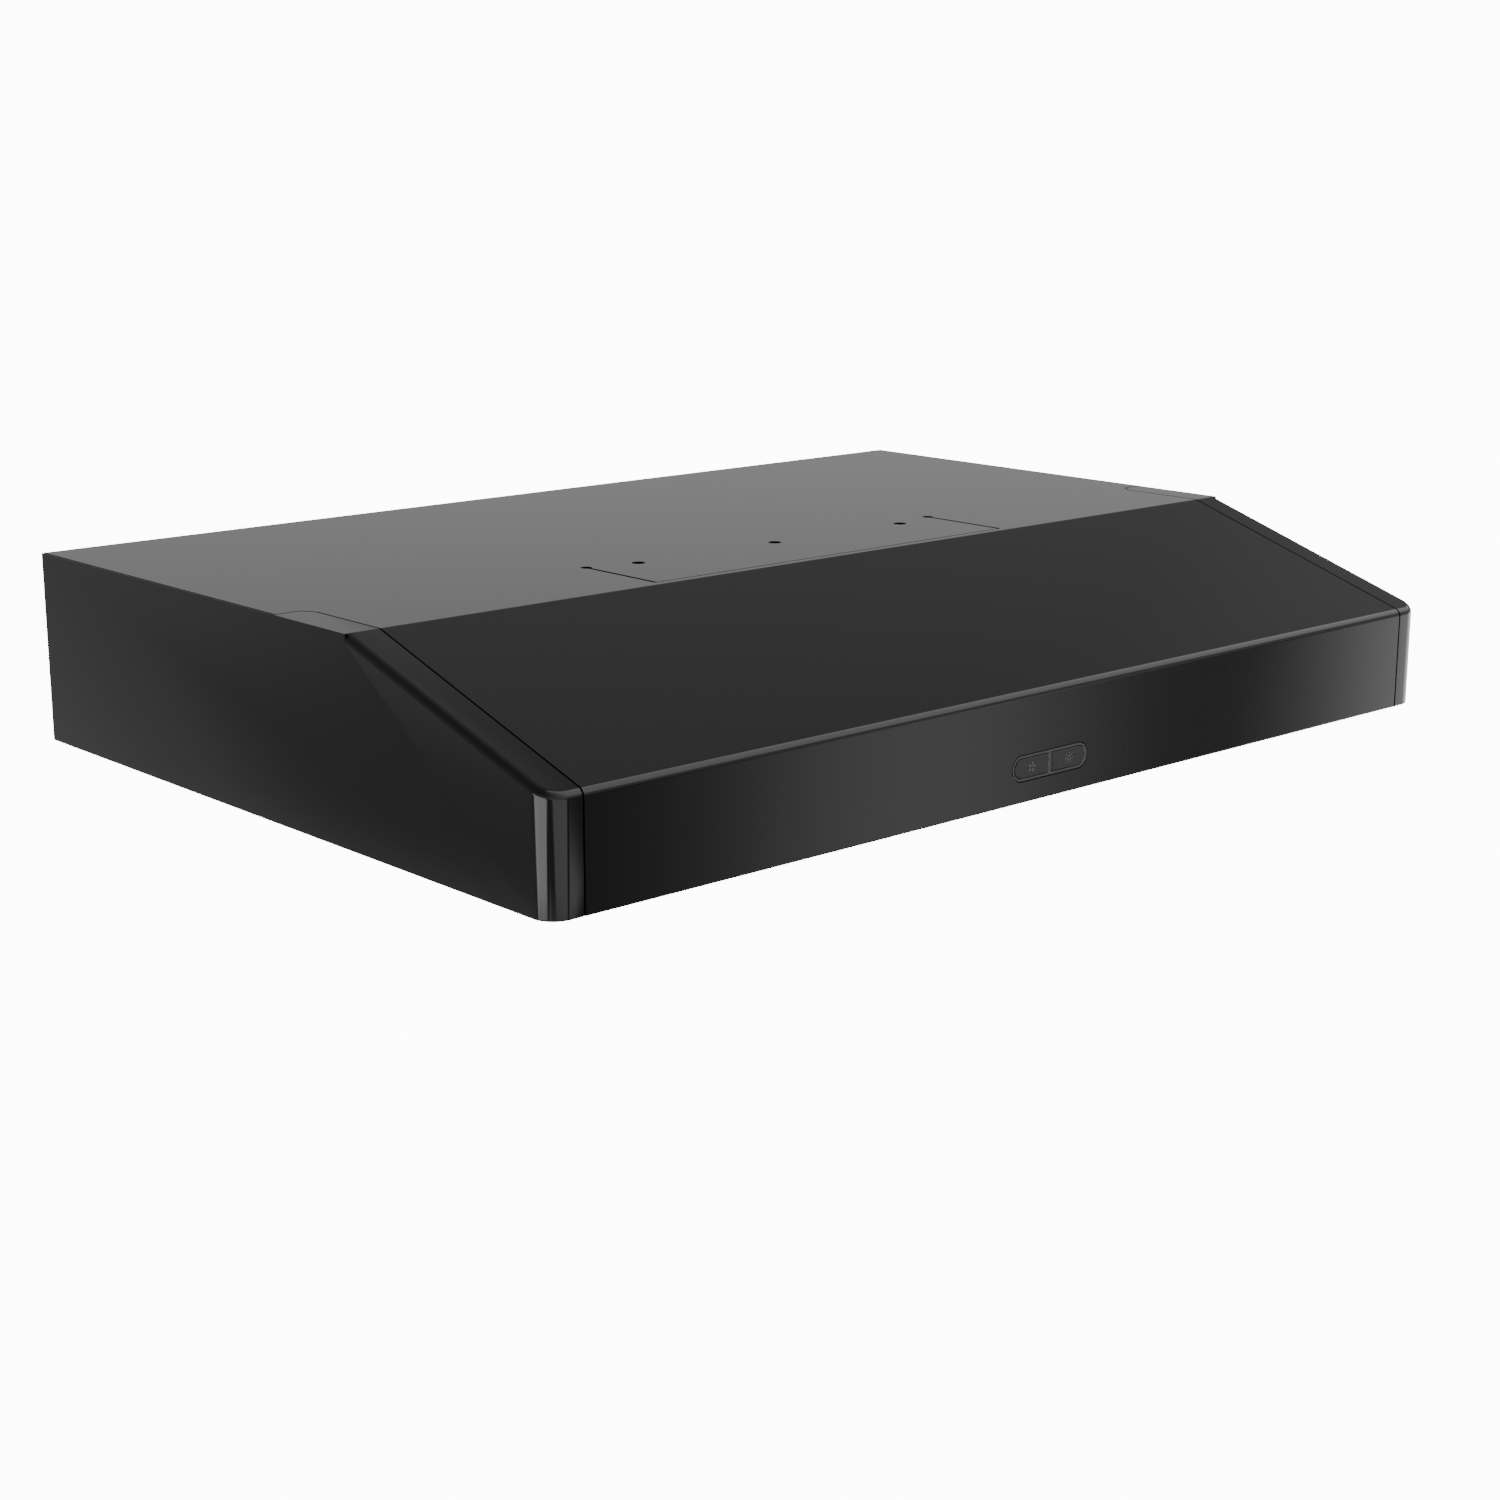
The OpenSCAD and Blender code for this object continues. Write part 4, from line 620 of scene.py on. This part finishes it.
def hoodShell():
    made = shellMade
    edgeX = seamX - hood["seam"]
    wingX = halfWidth - sheet - hood["seam"]
    shell = hollowLoaf("hoodTop", 0, sheet)
    bisectAt(shell, (edgeX, 0, 0), (1, 0, 0))
    bisectAt(shell, (-edgeX, 0, 0), (-1, 0, 0))
    wingFront = flangeY + hood["seam"]
    carve(shell, block("wings", (-wingX, wingFront, -sheet), (wingX, 0, 0)), "UNION")
    reach = hood["flangeCorner"] + 2 * mm + 0.7 * hood["seam"]
    for side in (-1, 1):
        x = side * (edgeX - mm)
        y = wingFront + mm
        corners = [(x, y), (x + side * reach * 0.65, y), (x, y - reach)][::side]
        carve(shell, prism("corner", corners, -sheet, 0), "UNION")
        low, high = sorted((side * wingX, side * (wingX - sheet)))
        carve(shell, block("flange", (low, flangeY + 4 * mm, -hood["returnWidth"]),
                           (high, rearY - 4 * mm, -0.4 * mm)), "UNION")
    carve(shell, block("return", (-edgeX, frontY + mm, bottomZ),
                       (edgeX, frontY + hood["frontReturn"], bottomZ + sheet)), "UNION")
    tongueY = -hood["topDepth"] + made["tongueEdge"]
    slitY = tongueY + made["tongueLength"]
    half = made["tongueWidth"] / 2
    for side in (-1, 1):
        x = side * half
        carve(shell, block("slit", (x - made["slit"] / 2, tongueY, -2 * mm), (x + made["slit"] / 2, slitY, mm)))
        carve(shell, rod("relief", made["relief"], (x, slitY, -2 * mm), (x, slitY, mm), 28))
    carve(shell, block("slit", (-half, tongueY - made["slit"] / 4, -2 * mm),
                       (half, tongueY + made["slit"] / 4, mm)))
    holeY = -hood["topDepth"] + made["holeBack"]
    for step in (-1, 0, 1):
        x = step * made["holeStep"]
        carve(shell, rod("hole", made["holeRadius"], (x, holeY, -2 * mm), (x, holeY, mm), 32))
    for x, y in frontPanScrews:
        carve(shell, rod("hole", 1.8 * mm, (x, y, bottomZ - mm), (x, y, bottomZ + 2 * mm), 20))
    carve(shell, pillBlock("opening", made["pillWidth"] + 1.1 * mm, made["pillHeight"] + 1.1 * mm,
                           frontY - mm, frontY + 2 * mm, controlZ))
    tidyFlats(shell)
    softEdges(shell, made["edge"])
    return shell


shell = hoodShell()
smooth(shell, 14)
place(shell, "hood", "black_paint", paint, "hood_shell")
shade(shell, seamShadow, lambda centre, facing: abs(facing.x) > 0.2
      and abs(centre.x) > seamX - hood["seam"] - 0.3 * mm)
shade(shell, seamShadow, lambda centre, facing: abs(facing.z) < 0.97 and centre.z > -mm
      and centre.y > 0.01 - hood["topDepth"])
shade(shell, seamShadow, lambda centre, facing: abs(facing.y) < 0.4 and centre.y < frontY + 2 * mm
      and abs(centre.x) < 40 * mm and abs(centre.z - controlZ) < 9 * mm)
print("hood shell made")


# copies of packed sheets and fittings, with their edges softened
def fromNode(node, name, edge=0.2 * mm, angle=30, degrees=1.5):
    source = nodes[node]
    clearSelection()
    source.hide_set(False)
    source.select_set(True)
    bpy.context.view_layer.objects.active = source
    bpy.ops.object.duplicate(linked=False)
    piece = bpy.context.object
    piece.data = piece.data.copy()
    bpy.ops.object.parent_clear(type="CLEAR_KEEP_TRANSFORM")
    settle(piece, name)
    chooseFaces(piece, lambda centre, facing: True)
    bpy.ops.mesh.remove_doubles(threshold=1e-6)
    bpy.ops.mesh.tris_convert_to_quads(face_threshold=math.radians(degrees),
                                       shape_threshold=math.radians(170))
    objectMode()
    if edge:
        softEdges(piece, edge, 40)
    return smooth(piece, angle)


fittings = {
    "rear_panel": ("rearPanel", "hood", "black_paint", innerPaintAndHoleShade, 0),
    "bottom_pan": ("bottomPan", "hood", "black_paint", innerPaintAndHoleShade, 0),
    "duct_collar": ("ductCollar", "hood", "galvanised", galvanised, 0.2),
    "damper_flap": ("damperFlap", "damper", "galvanised", galvanised, 0.15),
    "damper_seal": ("damperSeal", "hood", "seal_rubber", rubber, 0.3),
    "filter_hinge_brackets": ("hingeBrackets", "hood", "zinc_steel", zincPlate, 0.15),
    "filter_catches": ("catchSprings", "hood", "zinc_steel", zincPlate, 0.1),
    "left_ring_lug": ("ringLugLeft", "left_filter", "filter_aluminium", filterAluminium, 0.25),
    "right_ring_lug": ("ringLugRight", "right_filter", "filter_aluminium", filterAluminium, 0.25),
    "left_filter_frame": ("filterFrameLeft", "left_filter", "filter_aluminium", filterAluminium, 0.35),
    "right_filter_frame": ("filterFrameRight", "right_filter", "filter_aluminium", filterAluminium, 0.35),
    "wiring_box": ("wiringBox", "hood", "galvanised", galvanised, 0.2),
    "wiring_box_cover": ("wiringBoxCover", "hood", "galvanised", galvanised, 0.15),
    "control_housing": ("controlHousing", "hood", "housing_plastic", housingPlastic, 0.3),
    "lamp_driver": ("lampDriver", "hood", "white_plastic", whitePlastic, 0.6),
    "left_lamp_can": ("lampCanLeft", "hood", "white_plastic", whitePlastic, 0.3),
    "right_lamp_can": ("lampCanRight", "hood", "white_plastic", whitePlastic, 0.3),
    "wheel_nut": ("wheelNut", "rotor", "zinc_steel", zincPlate, 0.3),
    "blower_nuts": ("blowerNuts", "hood", "zinc_steel", zincPlate, 0.3),
}
for node, (name, body, slot, material, edge) in fittings.items():
    place(fromNode(node, name, edge * mm), body, slot, material, node)
print("fittings softened")


# round lamp lenses with a shallow dome and a moulded rim step
lensMade = {"radius": 33 * mm, "dome": 2.5 * mm, "rim": 34.6 * mm}


def lampLens(name, x):
    made = lensMade
    low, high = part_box("left_lamp_lens")
    domeR = (made["radius"] ** 2 + made["dome"] ** 2) / (2 * made["dome"])
    lowZ = low[2]
    outline = [(0, 0)]
    for step in range(1, 13):
        radius = made["radius"] * step / 12
        outline.append((radius, domeR - math.sqrt(domeR ** 2 - radius ** 2)))
    top = high[2] - lowZ
    rim, step = made["rim"], made["dome"] + 0.3 * mm
    outline += [(made["radius"] + 0.3 * mm, step), (rim - 0.3 * mm, step), (rim, step + 0.3 * mm),
                (rim, top - 0.2 * mm), (rim - 0.2 * mm, top), (0, top)]
    centreY = (low[1] + high[1]) / 2
    lens = lathe(name, outline, (x, centreY, lowZ), 72)
    return smooth(lens, 30)


lensX = 249.4 * mm
place(lampLens("lampLensLeft", -lensX), "hood", "frosted_lens", frosted, "left_lamp_lens")
place(lampLens("lampLensRight", lensX), "hood", "frosted_lens", frosted, "right_lamp_lens")
print("lamp lenses made")


# expanded-metal faces of the grease filters, with pleated foil between
meshMade = {"cell": 7.2 * mm, "stretch": 0.62, "strand": 0.9 * mm, "inset": 2.5 * mm}


def filterMesh(name, node):
    low, high = (Vector(corner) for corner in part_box(node))
    parts = []
    for z, shift in ((low.z + 0.45 * mm, 0), (high.z - 0.45 * mm, 0.5), (low.z + 1.5 * mm, 0.37)):
        made = meshMade
        count = int(((high.x - low.x) + (high.y - low.y) / made["stretch"]) / made["cell"]) + 8
        clearSelection()
        bpy.ops.mesh.primitive_grid_add(x_subdivisions=count, y_subdivisions=count,
                                        size=count * made["cell"] / math.sqrt(2), rotation=(0, 0, math.radians(45)))
        layer = bpy.context.object
        settle(layer)
        layer.scale.y = made["stretch"]
        layer.location = ((low.x + high.x) / 2 + shift * made["cell"], (low.y + high.y) / 2, z)
        settle(layer)
        inset = made["inset"]
        for spot, facing in ((low.x + inset, (-1, 0, 0)), (high.x - inset, (1, 0, 0))):
            chooseFaces(layer, lambda centre, normal: True)
            bpy.ops.mesh.bisect(plane_co=(spot, 0, 0), plane_no=facing, clear_outer=True)
            objectMode()
        for spot, facing in ((low.y + inset, (0, -1, 0)), (high.y - inset, (0, 1, 0))):
            chooseFaces(layer, lambda centre, normal: True)
            bpy.ops.mesh.bisect(plane_co=(0, spot, 0), plane_no=facing, clear_outer=True)
            objectMode()
        shape(layer, "WIREFRAME", thickness=made["strand"], use_even_offset=False, use_boundary=True)
        parts.append(layer)
    pleats = 44
    width = high.x - low.x - 1 * mm
    rise = (high.z - low.z) / 2 - 2.1 * mm
    clearSelection()
    bpy.ops.mesh.primitive_grid_add(x_subdivisions=pleats, y_subdivisions=1, size=1,
                                    location=(low + high) / 2 - Vector((0, 0, rise)))
    foil = bpy.context.object
    foil.scale = (width, high.y - low.y - 1 * mm, 1)
    settle(foil)
    step = width / pleats
    chooseEdges(foil, lambda start, end, sides: abs(start.x - end.x) < 1e-6
                and round((start.x - low.x) / step) % 2)
    bpy.ops.transform.translate(value=(0, 0, 2 * rise))
    objectMode()
    shape(foil, "SOLIDIFY", thickness=0.25 * mm, offset=0)
    parts.append(foil)
    return merge(parts, name)


for side in ("left", "right"):
    place(filterMesh("filterMesh" + side.title(), side + "_filter_mesh"), side + "_filter",
          "mesh_aluminium", meshAluminium, side + "_filter_mesh")
print("filter faces made")


# control pill on the front
pillMade = {"width": 66.5 * mm, "height": 15.5 * mm, "rim": 1.5 * mm, "bar": 2.6 * mm, "gap": 0.3 * mm,
            "edge": 0.45 * mm, "iconLift": 0.06 * mm, "iconShift": 16.6 * mm}


def halfPill(name, side, inset, frontEdge, backEdge):
    made = pillMade
    piece = pillBlock(name, made["width"] - 2 * inset, made["height"] - 2 * inset,
                      frontEdge, backEdge, controlZ)
    return bisectAt(piece, (side * (made["bar"] / 2 + inset - made["rim"]), 0, 0), (-side, 0, 0))


def bezel():
    made = pillMade
    low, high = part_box("button_bezel")
    ring = pillBlock("bezel", made["width"], made["height"], low[1], low[1] + 4 * mm, controlZ)
    carve(ring, block("plate", (low[0], low[1] + 1.1 * mm, low[2]), (high[0], high[1], high[2])), "UNION")
    for side in (-1, 1):
        carve(ring, halfPill("opening", side, made["rim"], low[1] - mm, high[1] + mm))
    tidyFlats(ring)
    softEdges(ring, made["edge"] * 0.6, 40, 3)
    return smooth(ring, 30)


def button(name, node, side):
    made = pillMade
    low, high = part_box(node)
    face = low[1] + made["iconLift"]
    cap = halfPill(name, side, made["rim"] + made["gap"], face, -526 * mm)
    softEdges(cap, made["edge"], 40, 3)
    lip = halfPill("lip", side, made["rim"] - 0.8 * mm, -526.6 * mm, -525.7 * mm)
    stemX = side * made["width"] / 4
    stem = rod("stem", 2 * mm, (stemX, -526.2 * mm, controlZ), (stemX, high[1], controlZ), 24)
    return smooth(merge([cap, lip, stem], name), 30)


def fanIcon(name, x, face):
    lift = pillMade["iconLift"]
    parts = []
    hubY = face - lift / 2
    for step in range(5):
        clearSelection()
        bpy.ops.mesh.primitive_cylinder_add(vertices=28, radius=1, depth=1)
        petal = bpy.context.object
        petal.scale = (0.5 * mm, 1.2 * mm, lift)
        petal.location = (0.3 * mm, 2.1 * mm, 0)
        petal.rotation_euler.z = math.radians(-24)
        settle(petal)
        petal.rotation_euler.z = math.radians(72 * step)
        settle(petal)
        parts.append(petal)
    clearSelection()
    bpy.ops.mesh.primitive_cylinder_add(vertices=24, radius=0.4 * mm, depth=lift)
    parts.append(bpy.context.object)
    icon = merge(parts, name)
    icon.rotation_euler.x = math.radians(90)
    icon.location = (x, hubY, controlZ)
    return smooth(settle(icon, name), 30)


def lampIcon(name, x, face):
    lift = pillMade["iconLift"]
    clearSelection()
    bpy.ops.mesh.primitive_torus_add(major_segments=40, minor_segments=6,
                                     major_radius=1.5 * mm, minor_radius=0.22 * mm)
    parts = [bpy.context.object]
    for step in range(8):
        angle = math.radians(45 * step)
        inner, outer = [(reach * math.cos(angle), reach * math.sin(angle), 0)
                        for reach in (2.7 * mm, 3.8 * mm)]
        parts.append(rod("ray", 0.22 * mm, inner, outer, 8))
    icon = merge(parts, name)
    icon.scale.z = lift / (0.44 * mm)
    settle(icon)
    icon.rotation_euler.x = math.radians(90)
    icon.location = (x, face - lift / 2, controlZ)
    return smooth(settle(icon, name), 30)


place(bezel(), "hood", "black_plastic", bezelPlastic, "button_bezel")
place(button("fanKey", "fan_button", -1), "fan_key", "black_plastic", buttonPlastic, "fan_button")
place(button("lightKey", "light_button", 1), "light_key", "black_plastic", buttonPlastic, "light_button")
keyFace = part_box("fan_button")[0][1] + pillMade["iconLift"]
place(fanIcon("fanMark", -pillMade["iconShift"], keyFace), "fan_key", "black_plastic", iconPrint)
place(lampIcon("lightMark", pillMade["iconShift"], keyFace), "light_key", "black_plastic", iconPrint)
print("controls made")


# wire pull rings
ringMade = {"wire": 1.2 * mm, "bow": 5 * mm}


def pullRing(name, node):
    low, high = (Vector(corner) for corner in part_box(node))
    made = ringMade
    wire = made["wire"]
    x = (low.x + high.x) / 2
    y = (low.y + high.y) / 2
    top = high.z - wire
    bottom = low.z + wire
    half = (high.x - low.x) / 2 - wire
    bow = made["bow"]
    path = [(-half, top)]
    for step in range(9):
        angle = math.radians(180 + 90 * step / 8)
        path.append((-half + bow + bow * math.cos(angle), bottom + bow + bow * math.sin(angle)))
    for step in range(9):
        angle = math.radians(270 + 90 * step / 8)
        path.append((half - bow + bow * math.cos(angle), bottom + bow + bow * math.sin(angle)))
    path.append((half, top))
    clearSelection()
    bpy.ops.mesh.primitive_plane_add(size=mm)
    ring = bpy.context.object
    bpy.context.tool_settings.mesh_select_mode = (True, False, False)
    bpy.ops.object.mode_set(mode="EDIT")
    bpy.ops.mesh.select_all(action="SELECT")
    bpy.ops.mesh.merge(type="CENTER")
    bpy.ops.transform.translate(value=(x + path[0][0], y, path[0][1]))
    for (x0, z0), (x1, z1) in zip(path, path[1:]):
        bpy.ops.mesh.extrude_region_move(TRANSFORM_OT_translate={"value": (x1 - x0, 0, z1 - z0)})
    objectMode()
    settle(ring, name)
    clearSelection()
    ring.select_set(True)
    bpy.context.view_layer.objects.active = ring
    bpy.ops.object.convert(target="CURVE")
    curve = bpy.context.object
    curve.data.splines[0].use_cyclic_u = True
    curve.data.dimensions = "3D"
    curve.data.bevel_depth = wire
    curve.data.bevel_resolution = 5
    bpy.ops.object.convert(target="MESH")
    return smooth(settle(bpy.context.object, name), 50)


for side in ("left", "right"):
    place(pullRing("pullRing" + side.title(), side + "_pull_ring"), side + "_ring",
          "filter_aluminium", zincPlate, side + "_pull_ring")
print("pull rings made")


# screws with cross recesses
screwMade = {"panHead": 3 * mm, "headHeight": 1.4 * mm, "shank": 1.6 * mm}


def crossScrew(name, head, inward, radius, height, shank, length):
    # head is the middle of the head's outer face, inward the way the shank points
    domed = [(0, 0), (radius * 0.45, 0), (radius * 0.8, height * 0.16), (radius * 0.96, height * 0.5),
             (radius, height * 0.9), (radius, height), (shank, height), (shank, height + length - shank),
             (shank * 0.35, height + length),
             (0, height + length)]
    piece = lathe(name, domed, (0, 0, 0), 24)
    arm = radius * 0.52
    slot = radius * 0.13
    deep = height * 0.62
    for size in ((arm, slot), (slot, arm)):
        carve(piece, block("slot", (-size[0], -size[1], -mm), (size[0], size[1], deep)))
    turn = Vector(inward).to_track_quat("Z", "Y").to_euler()
    piece.rotation_euler = turn
    piece.location = head
    return smooth(settle(piece, name), 30)


def screwSet(name, heads, inward, radius, height, shank, length):
    first = crossScrew(name, (0, 0, 0), inward, radius, height, shank, length)
    parts = [copyOf(first, name, head) for head in heads]
    bpy.data.objects.remove(first, do_unlink=True)
    return merge(parts, name)


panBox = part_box("pan_screws")
panLength = panBox[1][2] - panBox[0][2]
panHeads = [(s * x, y, panBox[0][2]) for x, y in sidePanScrews for s in (-1, 1)] \
    + [(x, y, panBox[0][2]) for x, y in frontPanScrews]
made = screwMade
panScrews = screwSet("panScrews", panHeads, (0, 0, 1), made["panHead"], made["headHeight"], made["shank"],
                     panLength - made["headHeight"])
place(panScrews, "hood", "zinc_steel", blackScrew, "pan_screws")
print("screws made")


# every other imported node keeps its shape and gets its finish
finishes = {
    # the scroll top plate gets the inner black paint so that the holes over it read dark: painted shade
    innerPaintAndHoleShade: ("scroll_top_plate",),
    galvanised: ("scroll_wall", "scroll_inlet_plate", "motor_can", "motor_cover"),
    wheelPlastic: ("blower_wheel",),
    laminated: ("motor_stator",),
    pressedSteel: ("motor_rotor", "motor_shaft"),
    bronze: ("upper_bearing", "lower_bearing"),
    rubber: ("blower_grommets",),
    greenBoard: ("control_board",),
    whiteBoard: ("left_led_board", "right_led_board"),
    switchPlastic: ("fan_switch", "light_switch"),
    creamPlastic: ("terminal_block",),
    greyCase: ("run_capacitor",),
    leadJacket: ("motor_lead", "lamp_lead"),
    darkJacket: ("control_lead",),
    zincPlate: ("blower_studs", "control_screws", "motor_screws", "rear_screws", "collar_screws",
                "cover_screws"),
}
for material, names in finishes.items():
    for name in names:
        slots = nodes[name].material_slots
        for entry in slots:
            entry.material = material
        if not slots:
            nodes[name].data.materials.append(material)
print("packed nodes finished")


# floor and light: the floor shows white to the camera and lets reflections pass
clearSelection()
bpy.ops.mesh.primitive_plane_add(size=14, location=(0, 0, bottomZ - 1.6 * mm))
floor = settle(bpy.context.object, "studioFloor")
floor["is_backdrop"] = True
floorPaper = bpy.data.materials.new("palePaper")
floorPaper.use_nodes = True
tree = floorPaper.node_tree
tree.nodes.clear()
output = tree.nodes.new("ShaderNodeOutputMaterial")
paper = tree.nodes.new("ShaderNodeEmission")
paper.inputs["Strength"].default_value = 12.5
clear = tree.nodes.new("ShaderNodeBsdfTransparent")
path = tree.nodes.new("ShaderNodeLightPath")
mixed = tree.nodes.new("ShaderNodeMixShader")
under = Wire(tree, tree.nodes.new("ShaderNodeNewGeometry").outputs["Backfacing"])
shown = Wire(tree, path.outputs["Is Camera Ray"]) * (1 - under)
tree.links.new(shown.socket, mixed.inputs[0])
tree.links.new(clear.outputs[0], mixed.inputs[1])
tree.links.new(paper.outputs[0], mixed.inputs[2])
tree.links.new(mixed.outputs[0], output.inputs[0])
floor.data.materials.append(floorPaper)

# studio surroundings as brightness by direction: (degrees round from the front, brightness)
studio = {
    "low": [(-180, 0.44), (-155, 0.4), (-149, 0.41), (-143, 0.29), (-124, 0.25), (-121, 3.6), (-66, 3.6),
            (-62, 0.2), (-43, 0.2), (-38, 1.3), (20, 1.3), (26, 0.13), (38.5, 0.13), (40.8, 0.34), (43.2, 0.96),
            (45.5, 1.25), (47.3, 1.14), (49, 0.7), (50.8, 0.21), (52.3, 0.09), (53.4, 0.16), (54.5, 0.3),
            (55.5, 1.5), (57, 2.4), (75, 3.6), (92, 3.2), (100, 1.2), (120, 0.8), (126, 0.5), (180, 0.5)],
    "middle": [(-180, 0.4), (-150, 0.3), (-110, 0.3), (-40, 0.8), (0, 0.9), (35, 0.6), (60, 0.6), (95, 0.7),
               (118, 0.51), (156, 0.49), (180, 0.45)],
    "high": [(-180, 0.4), (-165, 0.2), (-60, 0.2), (20, 1.2), (40, 1.9), (100, 1.9), (109, 0.36), (115, 0.31),
             (118, 0.27), (138, 0.34), (160, 0.34), (180, 0.4)],
    "under": [(-180, 0.8), (20, 0.8), (35, 0.1), (105, 0.1), (125, 0.8), (180, 0.8)],
    "backdrop": 12.5,
}
world = bpy.data.worlds.new("softStudio")
bpy.context.scene.world = world
world.use_nodes = True
tree = world.node_tree
tree.nodes.clear()
output = tree.nodes.new("ShaderNodeOutputWorld")
facing = Wire(tree, tree.nodes.new("ShaderNodeTexCoord").outputs["Generated"])
parts = facing.add("ShaderNodeSeparateXYZ", {}, {"Vector": facing})
east = Wire(tree, parts.socket.node.outputs[0])
north = Wire(tree, parts.socket.node.outputs[1])
rise = Wire(tree, parts.socket.node.outputs[2])
around = (facing.maths("ARCTAN2", east, north * -1.0) / math.radians(360)) + 0.5
level = facing.maths("ARCSINE", rise) / math.radians(1)
peak = 5.0


def band(stops):
    ramp = around.add("ShaderNodeValToRGB",
                      {"stops": [((angle + 180) / 360, (glow / peak,) * 3) for angle, glow in stops]},
                      {"Fac": around})
    return ramp * peak


def blendTo(first, second, share):
    return first + (second - first) * share


glow = blendTo(band(studio["low"]), band(studio["middle"]), level.between(-2, 4))
glow = blendTo(glow, band(studio["high"]), level.between(17, 26))
glow = blendTo(band(studio["under"]), glow, level.between(-34, -22))

seen = tree.nodes.new("ShaderNodeLightPath")
camera = Wire(tree, seen.outputs["Is Camera Ray"])
strength = blendTo(glow, studio["backdrop"], camera)
background = tree.nodes.new("ShaderNodeBackground")
background.inputs["Color"].default_value = (1, 0.968, 0.98, 1)
tree.links.new(strength.socket, background.inputs["Strength"])
tree.links.new(background.outputs[0], output.inputs[0])
print("studio made")

# camera
view = {"place": (-1.1469, -1.5389, 0.2846), "tilt": 90 - 14.07, "turn": -41.90, "lens": 62.5}
eye = bpy.data.cameras.new("eye")
eye.lens, eye.sensor_width = view["lens"], 36
eye.clip_start, eye.clip_end = 0.05, 60
eye.dof.use_dof = False
stand = bpy.data.objects.new("eye", eye)
bpy.context.collection.objects.link(stand)
stand.location = view["place"]
stand.rotation_euler = (math.radians(view["tilt"]), 0, math.radians(view["turn"]))
bpy.context.scene.camera = stand

made = [list(corner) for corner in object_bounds()]
